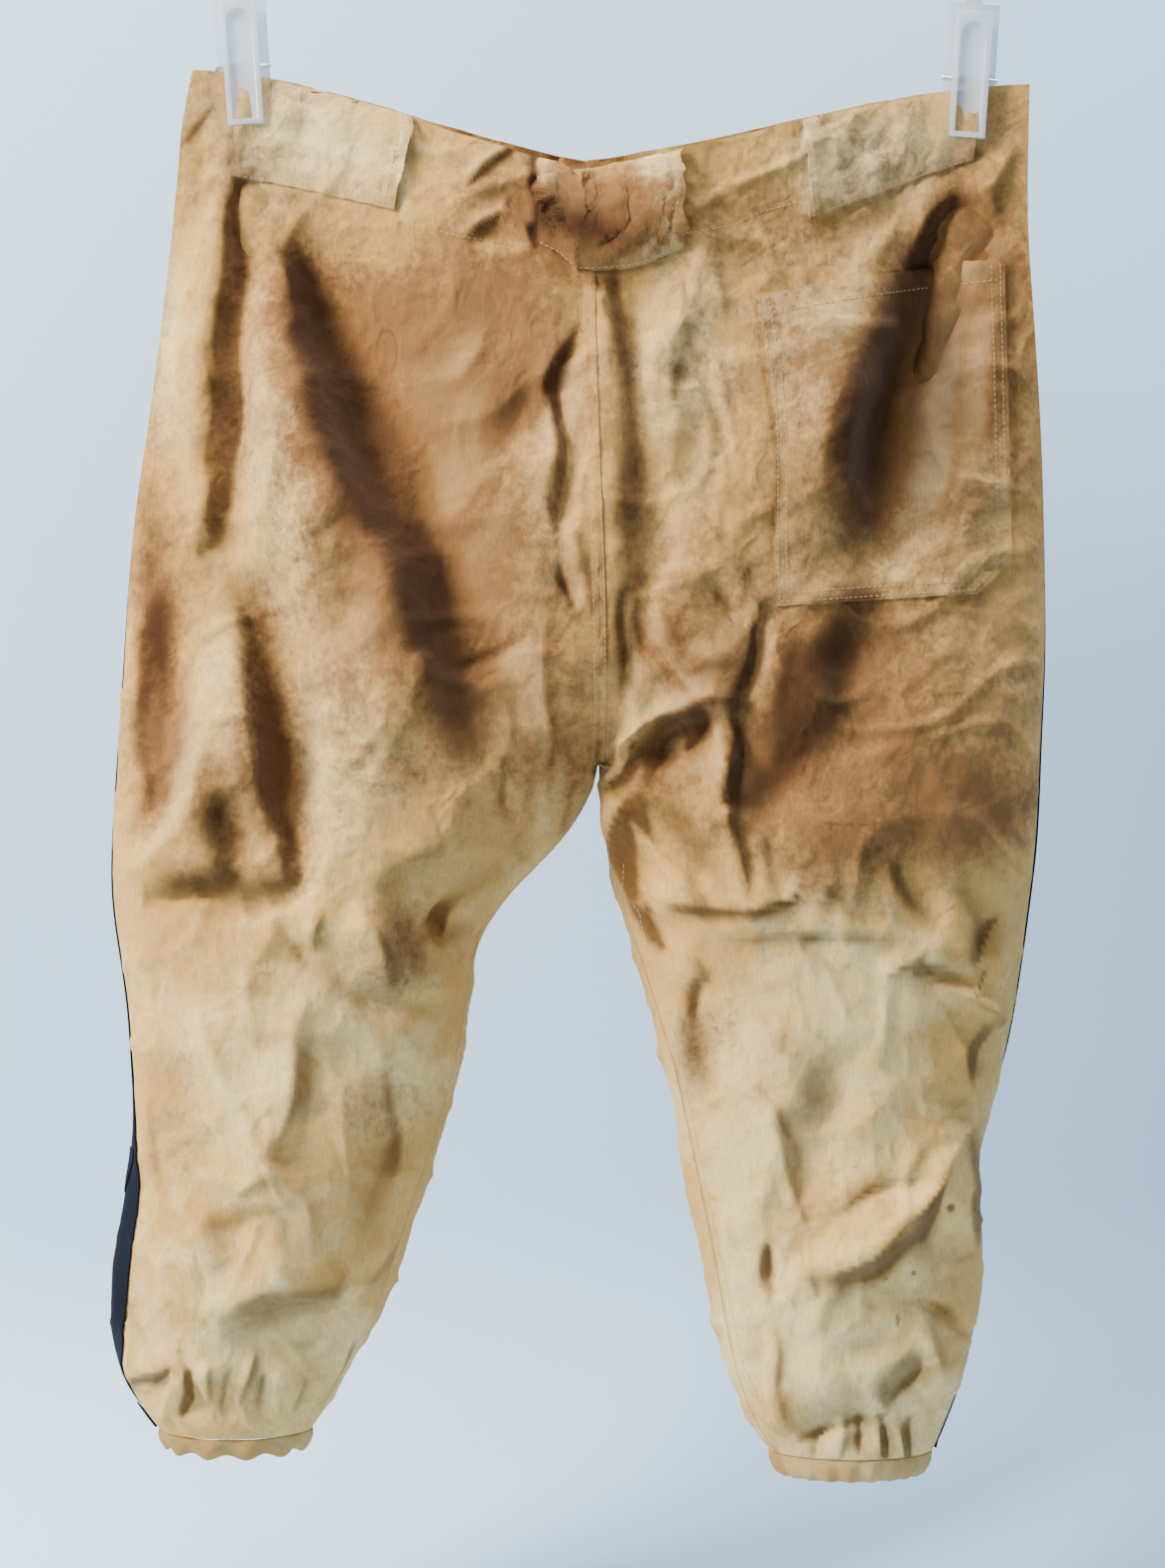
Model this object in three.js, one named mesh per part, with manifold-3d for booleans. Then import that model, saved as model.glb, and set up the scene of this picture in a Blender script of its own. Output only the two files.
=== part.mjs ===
import * as THREE from 'three';
import { mergeVertices } from 'three/addons/utils/BufferGeometryUtils.js';
import Module from 'manifold-3d';

// Baseball pants seen from behind, held at the waist by two clips on a hanger.
// Millimetres, +Z up. The origin is the inner top of the hook, the seat faces -Y
// and the wearer's left leg is at -X.

const wasm = await Module();
wasm.setup();

// Cloth
const WALL = 1.6;
const PATCH_WALL = 1.4;
const SEAM_GAP = 0.3;
const HALF_GAP = SEAM_GAP / 2;
const PATCH_GAP = 0.35;

// Heights of the waist, the crotch and the ends of the legs
const WAIST_SIDE = { left: -149, right: -157 };
const WAIST_MIDDLE = { back: -209, front: -195 };
const WAIST_SAG_POWER = 1.6;
const WAIST_SAG_EASE = 0.5;
const RISE_CURVE_TOP = -432;
const CROTCH = -542;
const LEG_END = { left: -900, right: -912 };

// The centre seam leans a little from the waist down to the seat
const CENTRE_SEAM = [
  { z: -209, x: -12 },
  { z: -340, x: -8 },
  { z: -440, x: -4 },
  { z: -542, x: -5 },
];

// Side edges of the garment
const SIDE_EDGE = {
  left: [
    { z: -149, x: -230 },
    { z: -181, x: -236 },
    { z: -207, x: -238 },
    { z: -275, x: -245 },
    { z: -341, x: -253 },
    { z: -407, x: -262 },
    { z: -495, x: -267 },
    { z: -560, x: -271 },
    { z: -605, x: -273 },
    { z: -660, x: -264 },
    { z: -700, x: -261 },
    { z: -742, x: -260 },
    { z: -795, x: -271 },
    { z: -825, x: -275 },
    { z: -850, x: -272 },
    { z: -877, x: -263 },
    { z: -900, x: -247 },
  ],
  right: [
    { z: -157, x: 234 },
    { z: -236, x: 233 },
    { z: -283, x: 236 },
    { z: -361, x: 240 },
    { z: -462, x: 241 },
    { z: -528, x: 238 },
    { z: -577, x: 236 },
    { z: -616, x: 231 },
    { z: -660, x: 225 },
    { z: -695, x: 219 },
    { z: -730, x: 207 },
    { z: -765, x: 204 },
    { z: -807, x: 207 },
    { z: -837, x: 203 },
    { z: -862, x: 198 },
    { z: -886, x: 190 },
    { z: -912, x: 179 },
  ],
};

// Inner edges of the legs, below the crotch
const INNER_EDGE = {
  left: [
    { z: -542, x: -5 },
    { z: -562, x: -18 },
    { z: -583, x: -29 },
    { z: -608, x: -61 },
    { z: -625, x: -73 },
    { z: -660, x: -76 },
    { z: -693, x: -80 },
    { z: -733, x: -90 },
    { z: -786, x: -107 },
    { z: -833, x: -123 },
    { z: -856, x: -137 },
    { z: -880, x: -151 },
    { z: -900, x: -164 },
  ],
  right: [
    { z: -542, x: -5 },
    { z: -562, x: -2 },
    { z: -598, x: 3 },
    { z: -616, x: 10 },
    { z: -660, x: 21 },
    { z: -695, x: 30 },
    { z: -739, x: 38 },
    { z: -779, x: 46 },
    { z: -814, x: 53 },
    { z: -846, x: 60 },
    { z: -874, x: 68 },
    { z: -896, x: 78 },
    { z: -912, x: 90 },
  ],
};

// How far the back and the front stand off the middle plane. A high flatness keeps
// the sides of the section flat and lets only its middle stand open.
const DEPTH = [
  { z: -149, back: 25, front: 20, flatness: 5.0 },
  { z: -207, back: 30, front: 24, flatness: 3.6 },
  { z: -275, back: 37, front: 30, flatness: 2.4 },
  { z: -341, back: 43, front: 34, flatness: 1.8 },
  { z: -407, back: 48, front: 38, flatness: 1.4 },
  { z: -495, back: 52, front: 42, flatness: 1.1 },
  { z: -560, back: 54, front: 44, flatness: 1.0 },
  { z: -640, back: 54, front: 45, flatness: 1.0 },
  { z: -740, back: 55, front: 46, flatness: 1.0 },
  { z: -820, back: 55, front: 46, flatness: 1.0 },
  { z: -862, back: 50, front: 43, flatness: 1.0 },
  { z: -886, back: 42, front: 37, flatness: 1.0 },
  { z: -912, back: 33, front: 30, flatness: 1.0 },
];

// The clips press the layers flat near the side edges
const PINCH = [
  { z: -149, amount: 1 },
  { z: -196, amount: 1 },
  { z: -250, amount: 0.35 },
  { z: -310, amount: 0 },
];
const PINCH_FROM = 0.21;
const PINCH_TO = 0.5;

// How far a leg is turned, in radians. A side seam that is turned below 0, and an
// inseam that is turned above 0, has come round to the back.
const TURN = [
  { z: -560, sideLeft: 0, inseamLeft: 0, sideRight: 0, inseamRight: 0 },
  { z: -620, sideLeft: 0, inseamLeft: 0.14, sideRight: 0, inseamRight: 0.22 },
  { z: -690, sideLeft: -0.05, inseamLeft: 0.3, sideRight: 0.05, inseamRight: 0.38 },
  { z: -742, sideLeft: -0.24, inseamLeft: 0.36, sideRight: 0.1, inseamRight: 0.46 },
  { z: -800, sideLeft: -0.43, inseamLeft: 0.38, sideRight: 0.1, inseamRight: 0.48 },
  { z: -840, sideLeft: -0.4, inseamLeft: 0.38, sideRight: 0.1, inseamRight: 0.46 },
  { z: -872, sideLeft: -0.1, inseamLeft: 0.35, sideRight: 0.05, inseamRight: 0.45 },
  { z: -912, sideLeft: 0, inseamLeft: 0.3, sideRight: 0, inseamRight: 0.45 },
];

// The largest folds: a route of x and z, the half width of the fold and how far it
// stands out, or in where it is below 0
const FOLDS = {
  back: [
    { route: [[-203, -200], [-208, -275], [-210, -330], [-226, -380]], width: 15, height: -8 },
    { route: [[-192, -260], [-192, -425]], width: 15, height: 5 },
    { route: [[-172, -225], [-136, -346], [-100, -440], [-70, -535]], width: 20, height: -9 },
    { route: [[-166, -375], [-154, -462]], width: 16, height: 6 },
    { route: [[-207, -410], [-191, -484], [-177, -540], [-172, -625]], width: 18, height: -15 },
    { route: [[-226, -480], [-232, -550], [-246, -606]], width: 16, height: 7 },
    { route: [[-254, -622], [-168, -622]], width: 14, height: -6 },
    { route: [[-92, -618], [-51, -590], [-20, -566]], width: 12, height: -7 },
    { route: [[-186, -618], [-151, -651], [-118, -669], [-84, -672]], width: 12, height: -8 },
    { route: [[-168, -608], [-136, -630], [-116, -650]], width: 12, height: 6 },
    { route: [[-240, -688], [-216, -704], [-192, -744], [-162, -812]], width: 14, height: 8 },
    { route: [[-222, -856], [-130, -830]], width: 13, height: -6 },
    { route: [[-38, -290], [-26, -330], [-28, -410]], width: 12, height: 4 },
    { route: [[200, -196], [186, -235], [168, -298], [150, -365], [140, -450]], width: 22, height: -15 },
    { route: [[94, -430], [84, -490], [66, -560]], width: 17, height: -11 },
    { route: [[120, -470], [112, -545], [104, -590]], width: 18, height: 6 },
    { route: [[-14, -520], [14, -517], [42, -500]], width: 13, height: -11 },
    { route: [[50, -500], [62, -545], [74, -606]], width: 13, height: 9 },
    { route: [[0, -556], [34, -598], [76, -608], [106, -600]], width: 11, height: 7 },
    { route: [[40, -628], [126, -624], [162, -632]], width: 12, height: -8 },
    { route: [[74, -700], [100, -745], [108, -815]], width: 13, height: -6 },
    { route: [[104, -818], [140, -808], [170, -780], [200, -728]], width: 16, height: 8 },
    { route: [[120, -842], [166, -828], [194, -790]], width: 15, height: -6 },
  ],
  front: [
    { route: [[-196, -205], [-180, -300], [-120, -420], [-60, -530]], width: 22, height: -9 },
    { route: [[196, -210], [182, -310], [118, -430], [50, -535]], width: 22, height: -10 },
    { route: [[-226, -430], [-208, -520], [-190, -620]], width: 18, height: 7 },
    { route: [[210, -420], [190, -500], [180, -600]], width: 18, height: -8 },
    { route: [[-120, -560], [-60, -580]], width: 14, height: -7 },
    { route: [[60, -560], [130, -600], [190, -610]], width: 14, height: 8 },
    { route: [[-230, -700], [-180, -760], [-140, -830]], width: 15, height: 8 },
    { route: [[-240, -640], [-120, -650]], width: 14, height: -7 },
    { route: [[70, -680], [120, -740], [190, -760]], width: 15, height: -8 },
    { route: [[90, -800], [150, -830], [190, -800]], width: 15, height: 8 },
  ],
};
const FOLD_FADE = 24;

// Rows and columns of the panels
const UPPER_ROWS = [0, 0.05, 0.1, 0.15, 0.2, 0.3, 0.4, 0.5, 0.6, 0.7, 0.8, 0.9, 1];
const CURVE_ROWS = 6;
const LEG_ROWS = 15;
const LEG_ROW_BIAS = 0.4;
const BACK_COLUMNS = 14;
const FRONT_COLUMNS = 6;
const EDGE_COLUMNS = [0, 8, 20];
const ARC_SAMPLES = 90;

// Belt tunnels, the pocket and the fly, as outlines seen from behind
const TUNNEL_HEIGHT = 55;
const TUNNEL_LIFT = 9;
const SIDE_TUNNEL_LIFT = 2.5;
// The side tunnels lie flat under the clips, from this far out, and ease down to it
const SIDE_TUNNEL_FLAT = 187;
const SIDE_TUNNEL_EASE = 40;
const ABOVE_WAIST = -100;
const TUNNELS = {
  tunnel_left: { face: 'back', lift: SIDE_TUNNEL_LIFT,
    outline: [[-202, ABOVE_WAIST], [-202, -160], [-209, -207], [-119, -231], [-106, -176],
      [-106, ABOVE_WAIST]] },
  tunnel_centre: { face: 'back', lift: TUNNEL_LIFT,
    outline: [[-42, ABOVE_WAIST], [-42, -202], [-36, -222], [-38, -243], [-43, -251], [-33, -259],
      [-12, -263], [9, -265], [30, -263], [44, -255], [39, -225], [40, ABOVE_WAIST]] },
  tunnel_right: { face: 'back', lift: SIDE_TUNNEL_LIFT,
    outline: [[107, ABOVE_WAIST], [107, -180], [112, -234], [164, -224], [201, -213], [204, -191],
      [204, ABOVE_WAIST]] },
  tunnel_front_left: { face: 'front', lift: SIDE_TUNNEL_LIFT,
    outline: [[-150, ABOVE_WAIST], [-150, -222], [-104, -233], [-104, ABOVE_WAIST]] },
  tunnel_front_right: { face: 'front', lift: SIDE_TUNNEL_LIFT,
    outline: [[104, ABOVE_WAIST], [104, -233], [150, -224], [150, ABOVE_WAIST]] },
};
const POCKET_OUTLINE = [[81, -275], [116, -271], [166, -263], [222, -254], [224, -421], [205, -438],
  [158, -438], [112, -444], [94, -445], [91, -408], [95, -375], [88, -329], [84, -298]];
const POCKET_MOUTH_LIFT = 1.6;
const POCKET_MOUTH_DEPTH = 60;
const POCKET_MOUTH = -262;
const FLY_OUTLINE = [[-34, ABOVE_WAIST], [-34, -330], [-24, -352], [-8, -362], [4, -362], [4, ABOVE_WAIST]];
const PATCH_REACH = 150;

// Points nearer than this are one point
const SAME_POINT = 1e-4;

// The button above the fly
const BUTTON_RADIUS = 8;
const BUTTON_THICKNESS = 3;
const BUTTON_CLEAR = 0.5;
const BUTTON_ROW = 1;

// The gathered casings at the leg ends
const CASING_ROWS = [
  { drop: 0, width: 0.985, wave: 0.5 },
  { drop: 0.5, width: 0.96, wave: 1 },
  { drop: 1, width: 0.87, wave: 0.8 },
];
const CASING = {
  left: { height: 11, waves: 11, wave: 1.6, scallop: 1.6, samples: 6 },
  right: { height: 13, waves: 22, wave: 0.9, scallop: 0.4, samples: 4 },
};
const CASING_WALL = 1.8;
const CASING_INNER_WAVE = 0.4;

// The side stripe ends below the waist tunnels and above the casing
const BRAID_WALL = 1;
const BRAID_FIRST_ROW = 4;
const BRAID_COLUMNS = EDGE_COLUMNS.length;

// Clips, measured from the pivot
const CLIPS = {
  left: { x: -201.8, z: -147.4, lean: -4 },
  right: { x: 200.7, z: -154.5, lean: 4 },
};
const JAW = { width: 20, bottom: -33, top: 37, plate: 2, rim: 2.2, border: 3, open: 31 };
const PLATE = { width: 29, bottom: -33, top: 43, thick: 3, neck: 9 };
const RING = { height: 57, outer: 6, inner: 2.6, width: 6 };
// The neck is a little thinner than the plate, and starts a little inside it
const NECK_INSET = 0.5;
const NECK_OVERLAP = 1;
const PIN = { radius: 1.2, length: 31, coil: 14 };

// The hanger's rod and hook, tilted as one
const TILT = 1;
const ROD_HEIGHT = -94;
const ROD = { radius: 1.8, half: 230, capRadius: 3.4, cap: 7 };
const FERRULE = { radius: 5.5, below: 8, above: 12 };
const DRILL = 40;
const HOOK = { radius: 24, wire: 1.8, start: 208, end: -28, step: 20 };
const HOOK_STEM = { straight: 12, bendFrom: -64, lead: [-5, -54] };
const STEM_END = ROD_HEIGHT + FERRULE.above / 2;

// Geometry helpers

function clamp(value, low, high) {
  return Math.min(high, Math.max(low, value));
}

function smooth(value, from, to) {
  const share = clamp((value - from) / (to - from), 0, 1);
  return share * share * (3 - 2 * share);
}

function mix(a, b, share) {
  return a + (b - a) * share;
}

// Reads a column of a table at height z, along a smooth curve through its rows
function read(table, key, z) {
  const last = table.length - 1;
  if (z >= table[0].z) return table[0][key];
  if (z <= table[last].z) return table[last][key];
  let i = 0;
  while (table[i + 1].z > z) i += 1;
  const slope = (j) => {
    const above = table[Math.max(0, j - 1)];
    const below = table[Math.min(last, j + 1)];
    return (below[key] - above[key]) / (below.z - above.z);
  };
  const span = table[i + 1].z - table[i].z;
  const t = (z - table[i].z) / span;
  const a = table[i][key];
  const b = table[i + 1][key];
  const rise = 3 * t * t - 2 * t * t * t;
  const leave = t * (1 - t) * (1 - t) * span * slope(i);
  const arrive = t * t * (1 - t) * span * slope(i + 1);
  return mix(a, b, rise) + leave - arrive;
}

// How far the folds move the point at x and z out of its panel
function foldHeight(folds, x, z) {
  let sum = 0;
  for (const { route, width, height } of folds) {
    const lengths = [0];
    for (let i = 1; i < route.length; i += 1) {
      const step = Math.hypot(route[i][0] - route[i - 1][0], route[i][1] - route[i - 1][1]);
      lengths.push(lengths[i - 1] + step);
    }
    const total = lengths[route.length - 1];
    let nearest = Infinity;
    let along = 0;
    for (let i = 1; i < route.length; i += 1) {
      const [x0, z0] = route[i - 1];
      const [x1, z1] = route[i];
      const length = lengths[i] - lengths[i - 1];
      const dot = (x - x0) * (x1 - x0) + (z - z0) * (z1 - z0);
      const share = clamp(dot / (length * length), 0, 1);
      const distance = Math.hypot(x - mix(x0, x1, share), z - mix(z0, z1, share));
      if (distance < nearest) {
        nearest = distance;
        along = (lengths[i - 1] + share * length) / total;
      }
    }
    const ends = smooth(along, 0, 0.2) * smooth(1 - along, 0, 0.2);
    sum += height * ends * Math.exp(-((nearest / width) ** 2));
  }
  return sum;
}

// A closed wall between two grids of points. A looped wall joins its last column
// to its first.
function wallGeometry(inner, outer, looped = false) {
  const rows = inner.length;
  const columns = inner[0].length;
  const positions = [];
  for (const grid of [inner, outer]) {
    for (const row of grid) {
      for (const point of row) positions.push(point.x, point.y, point.z);
    }
  }
  const at = (layer, row, column) => (layer * rows + row) * columns + (column % columns);
  const faces = [];
  const quad = (a, b, c, d) => faces.push(a, b, c, a, c, d);
  const cells = looped ? columns : columns - 1;
  for (let c = 0; c < cells; c += 1) {
    for (let r = 0; r < rows - 1; r += 1) {
      quad(at(1, r, c), at(1, r + 1, c), at(1, r + 1, c + 1), at(1, r, c + 1));
      quad(at(0, r, c), at(0, r, c + 1), at(0, r + 1, c + 1), at(0, r + 1, c));
    }
    quad(at(0, 0, c), at(1, 0, c), at(1, 0, c + 1), at(0, 0, c + 1));
    quad(at(1, rows - 1, c), at(0, rows - 1, c), at(0, rows - 1, c + 1), at(1, rows - 1, c + 1));
  }
  if (!looped) {
    const end = columns - 1;
    for (let r = 0; r < rows - 1; r += 1) {
      quad(at(1, r, 0), at(0, r, 0), at(0, r + 1, 0), at(1, r + 1, 0));
      quad(at(0, r, end), at(1, r, end), at(1, r + 1, end), at(0, r + 1, end));
    }
  }
  const geometry = new THREE.BufferGeometry();
  geometry.setAttribute('position', new THREE.Float32BufferAttribute(positions, 3));
  geometry.setIndex(faces);
  return outward(geometry);
}

// Turns the faces round where they point into the body
function outward(geometry) {
  const index = geometry.getIndex().array;
  const position = geometry.getAttribute('position');
  const corner = (i) => new THREE.Vector3().fromBufferAttribute(position, i);
  let volume = 0;
  for (let i = 0; i < index.length; i += 3) {
    volume += corner(index[i]).dot(corner(index[i + 1]).cross(corner(index[i + 2])));
  }
  if (volume < 0) {
    for (let i = 0; i < index.length; i += 3) {
      [index[i], index[i + 1]] = [index[i + 1], index[i]];
    }
  }
  return geometry;
}

function toSolid(geometry) {
  const bare = geometry.clone();
  bare.deleteAttribute('normal');
  bare.deleteAttribute('uv');
  const merged = mergeVertices(bare, SAME_POINT);
  return new wasm.Manifold(new wasm.Mesh({
    numProp: 3,
    vertProperties: new Float32Array(merged.getAttribute('position').array),
    triVerts: new Uint32Array(merged.getIndex().array),
  }));
}

function toGeometry(solid) {
  const mesh = solid.getMesh();
  const geometry = new THREE.BufferGeometry();
  geometry.setAttribute('position', new THREE.Float32BufferAttribute(Array.from(mesh.vertProperties), 3));
  geometry.setIndex(Array.from(mesh.triVerts));
  return geometry;
}

// Panels

// The heights of a half's rows at its side edge. level is the height at which both
// halves read their depth, drop is the share of the waist's sag that is left, and
// split is how far the rise curve has closed under the crotch.
function rowLevels(half) {
  const rows = [];
  for (const share of UPPER_ROWS) {
    const z = mix(WAIST_SIDE[half], RISE_CURVE_TOP, share);
    rows.push({ z, level: mix(WAIST_SIDE.left, RISE_CURVE_TOP, share), drop: 1 - share, split: 0 });
  }
  for (let i = 1; i <= CURVE_ROWS; i += 1) {
    const z = mix(RISE_CURVE_TOP, CROTCH, i / CURVE_ROWS);
    rows.push({ z, level: z, drop: 0, split: smooth(i / CURVE_ROWS, 0, 1) });
  }
  for (let i = 1; i <= LEG_ROWS; i += 1) {
    const share = i / LEG_ROWS;
    const z = mix(CROTCH, LEG_END[half], share + LEG_ROW_BIAS * share * (1 - share));
    rows.push({ z, level: z, drop: 0, split: 1, leg: true });
  }
  return rows;
}

const CROTCH_ROW = UPPER_ROWS.length - 1 + CURVE_ROWS;

// The inner line of a half at one height, as a function of the angle from the
// inner edge, 0, over the face to the side edge, pi
function sectionCurve(half, face, row) {
  const outer = read(SIDE_EDGE[half], 'x', row.z);
  const middle = WAIST_MIDDLE[face];
  const centreHeight = row.z - row.drop * (WAIST_SIDE[half] - middle);
  const inner = row.leg ? read(INNER_EDGE[half], 'x', row.z) : read(CENTRE_SEAM, 'x', centreHeight);
  const radius = (outer - inner) / (1 + row.split);
  const centre = outer - radius;
  const flatness = read(DEPTH, 'flatness', row.level);
  const pinch = read(PINCH, 'amount', row.level);
  const other = face === 'back' ? 'front' : 'back';
  const away = face === 'back' ? -1 : 1;
  return (angle) => {
    const x = centre - radius * Math.cos(angle);
    const inward = (outer - x) / (outer - inner);
    const sine = Math.sin(angle);
    const depth = read(DEPTH, sine >= 0 ? face : other, row.level);
    const open = 1 - pinch * (1 - smooth(inward, PINCH_FROM, PINCH_TO));
    const stand = HALF_GAP + depth * open * Math.abs(sine) ** flatness;
    const sag = row.drop * (WAIST_SIDE[half] - middle);
    const share = mix(clamp(inward, 0, 1) ** WAIST_SAG_POWER, smooth(inward, 0, 1), WAIST_SAG_EASE);
    const z = row.z - sag * share;
    return new THREE.Vector3(x, away * (sine >= 0 ? stand : -stand), z);
  };
}

// Distances of the columns along a line of this length
function columnPlaces(length, middleColumns) {
  const [, near, far] = EDGE_COLUMNS;
  const places = [...EDGE_COLUMNS];
  for (let i = 1; i < middleColumns; i += 1) {
    places.push(mix(far, length - far, i / middleColumns));
  }
  return [...places, length - far, length - near, length];
}

// One row of a panel, from the inner edge to the side seam
function panelRow(half, face, row) {
  const curve = sectionCurve(half, face, row);
  const way = face === 'back' ? 1 : -1;
  const side = half === 'left' ? 'Left' : 'Right';
  const from = row.leg ? way * read(TURN, `inseam${side}`, row.z) : Math.acos(row.split);
  const to = Math.PI + way * read(TURN, `side${side}`, row.z);
  const points = [];
  const lengths = [0];
  for (let i = 0; i <= ARC_SAMPLES; i += 1) {
    points.push(curve(mix(from, to, i / ARC_SAMPLES)));
    if (i > 0) lengths.push(lengths[i - 1] + points[i].distanceTo(points[i - 1]));
  }
  const length = lengths[ARC_SAMPLES];
  const columns = face === 'back' ? BACK_COLUMNS : FRONT_COLUMNS;
  const line = [];
  let i = 1;
  for (const place of columnPlaces(length, columns)) {
    while (i < ARC_SAMPLES && lengths[i] < place) i += 1;
    const share = clamp((place - lengths[i - 1]) / (lengths[i] - lengths[i - 1]), 0, 1);
    const fromSide = smooth(length - place, 0, FOLD_FADE);
    const fromInseam = row.leg ? smooth(place, 0, FOLD_FADE) : 1;
    line.push({ point: points[i - 1].clone().lerp(points[i], share), fade: fromSide * fromInseam });
  }
  return line;
}

// Outward directions of a grid, away from the middle plane
function gridNormals(grid, half, face) {
  const away = face === 'back' ? -1 : 1;
  const lastRow = grid.length - 1;
  const lastColumn = grid[0].length - 1;
  const turned = away * (half === 'left' ? -1 : 1);
  return grid.map((line, r) => line.map((point, c) => {
    const across = line[Math.min(lastColumn, c + 1)].clone().sub(line[Math.max(0, c - 1)]);
    const down = grid[Math.min(lastRow, r + 1)][c].clone().sub(grid[Math.max(0, r - 1)][c]);
    const normal = across.cross(down).multiplyScalar(turned);
    if (c === 0 && r < CROTCH_ROW) normal.x = 0;
    if (c === 0 && r === CROTCH_ROW) normal.set(0, 0, -1);
    if (r === 0 || r === lastRow) normal.z = 0;
    return normal.normalize();
  }));
}

// The inner face of a half, with its folds, and its outward directions
function panelGrid(half, face) {
  const lines = rowLevels(half).map((row) => panelRow(half, face, row));
  const away = face === 'back' ? -1 : 1;
  const smoothGrid = lines.map((line) => line.map(({ point }) => point));
  const firstNormals = gridNormals(smoothGrid, half, face);
  const points = lines.map((line, r) => line.map(({ point, fade }, c) => {
    const height = fade * foldHeight(FOLDS[face], point.x, point.z);
    const moved = point.clone().addScaledVector(firstNormals[r][c], height);
    if (away * point.y > 0) moved.y = away * Math.max(HALF_GAP, away * moved.y);
    return moved;
  }));
  for (let r = 0; r <= CROTCH_ROW; r += 1) points[r][0].x = smoothGrid[r][0].x;
  return { points, normals: gridNormals(points, half, face) };
}

function offset(grid, height) {
  return grid.points.map((line, r) => line.map((point, c) => {
    const lift = typeof height === 'number' ? height : height(point, grid.points[0][c]);
    return point.clone().addScaledVector(grid.normals[r][c], lift);
  }));
}

// A panel stops short of its seams by half a gap
function trimmed(grid, half) {
  const towards = half === 'left' ? -1 : 1;
  const points = grid.points.map((line, r) => line.map((point, c) => {
    const moved = point.clone();
    const last = line.length - 1;
    if (c === 0 && r <= CROTCH_ROW) {
      moved.x += towards * HALF_GAP;
    } else if (c === 0 || c === last) {
      const next = line[c === 0 ? 1 : last - 1];
      moved.addScaledVector(next.clone().sub(point).normalize(), HALF_GAP);
    }
    return moved;
  }));
  return { points, normals: grid.normals };
}

// Every panel's columns run towards +X, so that its facets match the layers on it
function eastward(rows, half) {
  return half === 'left' ? rows.map((line) => [...line].reverse()) : rows;
}

function panelGeometry(grid, half) {
  const panel = trimmed(grid, half);
  return wallGeometry(eastward(panel.points, half), eastward(offset(panel, WALL), half));
}

// Both halves of a face above the crotch, as one grid from side to side
function wholeFace(face) {
  const { left, right } = grids[face];
  const join = (key) => left[key].slice(0, CROTCH_ROW).map((line, r) => (
    [...line].reverse().concat(right[key][r].slice(1))));
  return { points: join('points'), normals: join('normals') };
}

// A layer cut to an outline, lying on a face with the seam gap or lifted further
function patchGeometry(face, outline, lift) {
  const whole = wholeFace(face);
  const inner = offset(whole, (point, top) => WALL + PATCH_GAP + lift(point, top));
  const outer = offset(whole, (point, top) => WALL + PATCH_GAP + PATCH_WALL + lift(point, top));
  const layer = toSolid(wallGeometry(inner, outer));
  const shape = new THREE.Shape(outline.map(([x, z]) => new THREE.Vector2(x, z)));
  const cutter = new THREE.ExtrudeGeometry(shape, { depth: PATCH_REACH, bevelEnabled: false });
  cutter.rotateX(Math.PI / 2);
  if (face === 'front') cutter.translate(0, PATCH_REACH, 0);
  return toGeometry(layer.intersect(toSolid(cutter)));
}

function tunnelGeometry({ face, outline, lift }) {
  return patchGeometry(face, outline, (point, top) => {
    const down = clamp((top.z - point.z) / TUNNEL_HEIGHT, 0, 1);
    const free = 1 - smooth(Math.abs(point.x), SIDE_TUNNEL_FLAT - SIDE_TUNNEL_EASE, SIDE_TUNNEL_FLAT);
    return lift * free * Math.sin(Math.PI * down);
  });
}

function pocketGeometry() {
  return patchGeometry('back', POCKET_OUTLINE, (point) => {
    const down = clamp((POCKET_MOUTH - point.z) / POCKET_MOUTH_DEPTH, 0, 1);
    return POCKET_MOUTH_LIFT * (1 - down);
  });
}

// The side stripe lies on the front panel's two columns next to the side seam
function braidGeometry(half) {
  const grid = trimmed(grids.front[half], half);
  const inner = offset(grid, WALL + PATCH_GAP);
  const outer = offset(grid, WALL + PATCH_GAP + BRAID_WALL);
  const strip = (rows) => (
    eastward(rows.slice(BRAID_FIRST_ROW).map((line) => line.slice(-BRAID_COLUMNS)), half));
  return wallGeometry(strip(inner), strip(outer));
}

// An elastic casing: a gathered ring below the end of a leg
function casingGeometry(half) {
  const size = CASING[half];
  const row = { z: LEG_END[half], level: LEG_END[half], drop: 0, split: 1, leg: true };
  const back = sectionCurve(half, 'back', row);
  const left = back(Math.PI);
  const right = back(0);
  const centre = new THREE.Vector3((left.x + right.x) / 2, 0, 0);
  const count = size.waves * size.samples;
  const inner = [];
  const outer = [];
  for (const { drop, width, wave } of CASING_ROWS) {
    const z = LEG_END[half] - SEAM_GAP - drop * size.height;
    const innerLine = [];
    const outerLine = [];
    for (let i = 0; i < count; i += 1) {
      const angle = (2 * Math.PI * i) / count;
      const place = back(angle).setZ(0).sub(centre);
      const out = place.clone().normalize();
      const swing = Math.sin(size.waves * angle);
      const scallop = drop * size.scallop * Math.cos(size.waves * angle + 1);
      place.multiplyScalar(width).add(centre);
      const gather = size.wave * wave * swing;
      innerLine.push(place.clone().addScaledVector(out, CASING_INNER_WAVE * gather).setZ(z + scallop));
      outerLine.push(place.clone().addScaledVector(out, CASING_WALL + gather).setZ(z + scallop));
    }
    inner.push(innerLine);
    outer.push(outerLine);
  }
  return wallGeometry(inner, outer, true);
}

const grids = {};
for (const face of ['back', 'front']) {
  grids[face] = { left: panelGrid('left', face), right: panelGrid('right', face) };
}

// Materials

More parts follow.
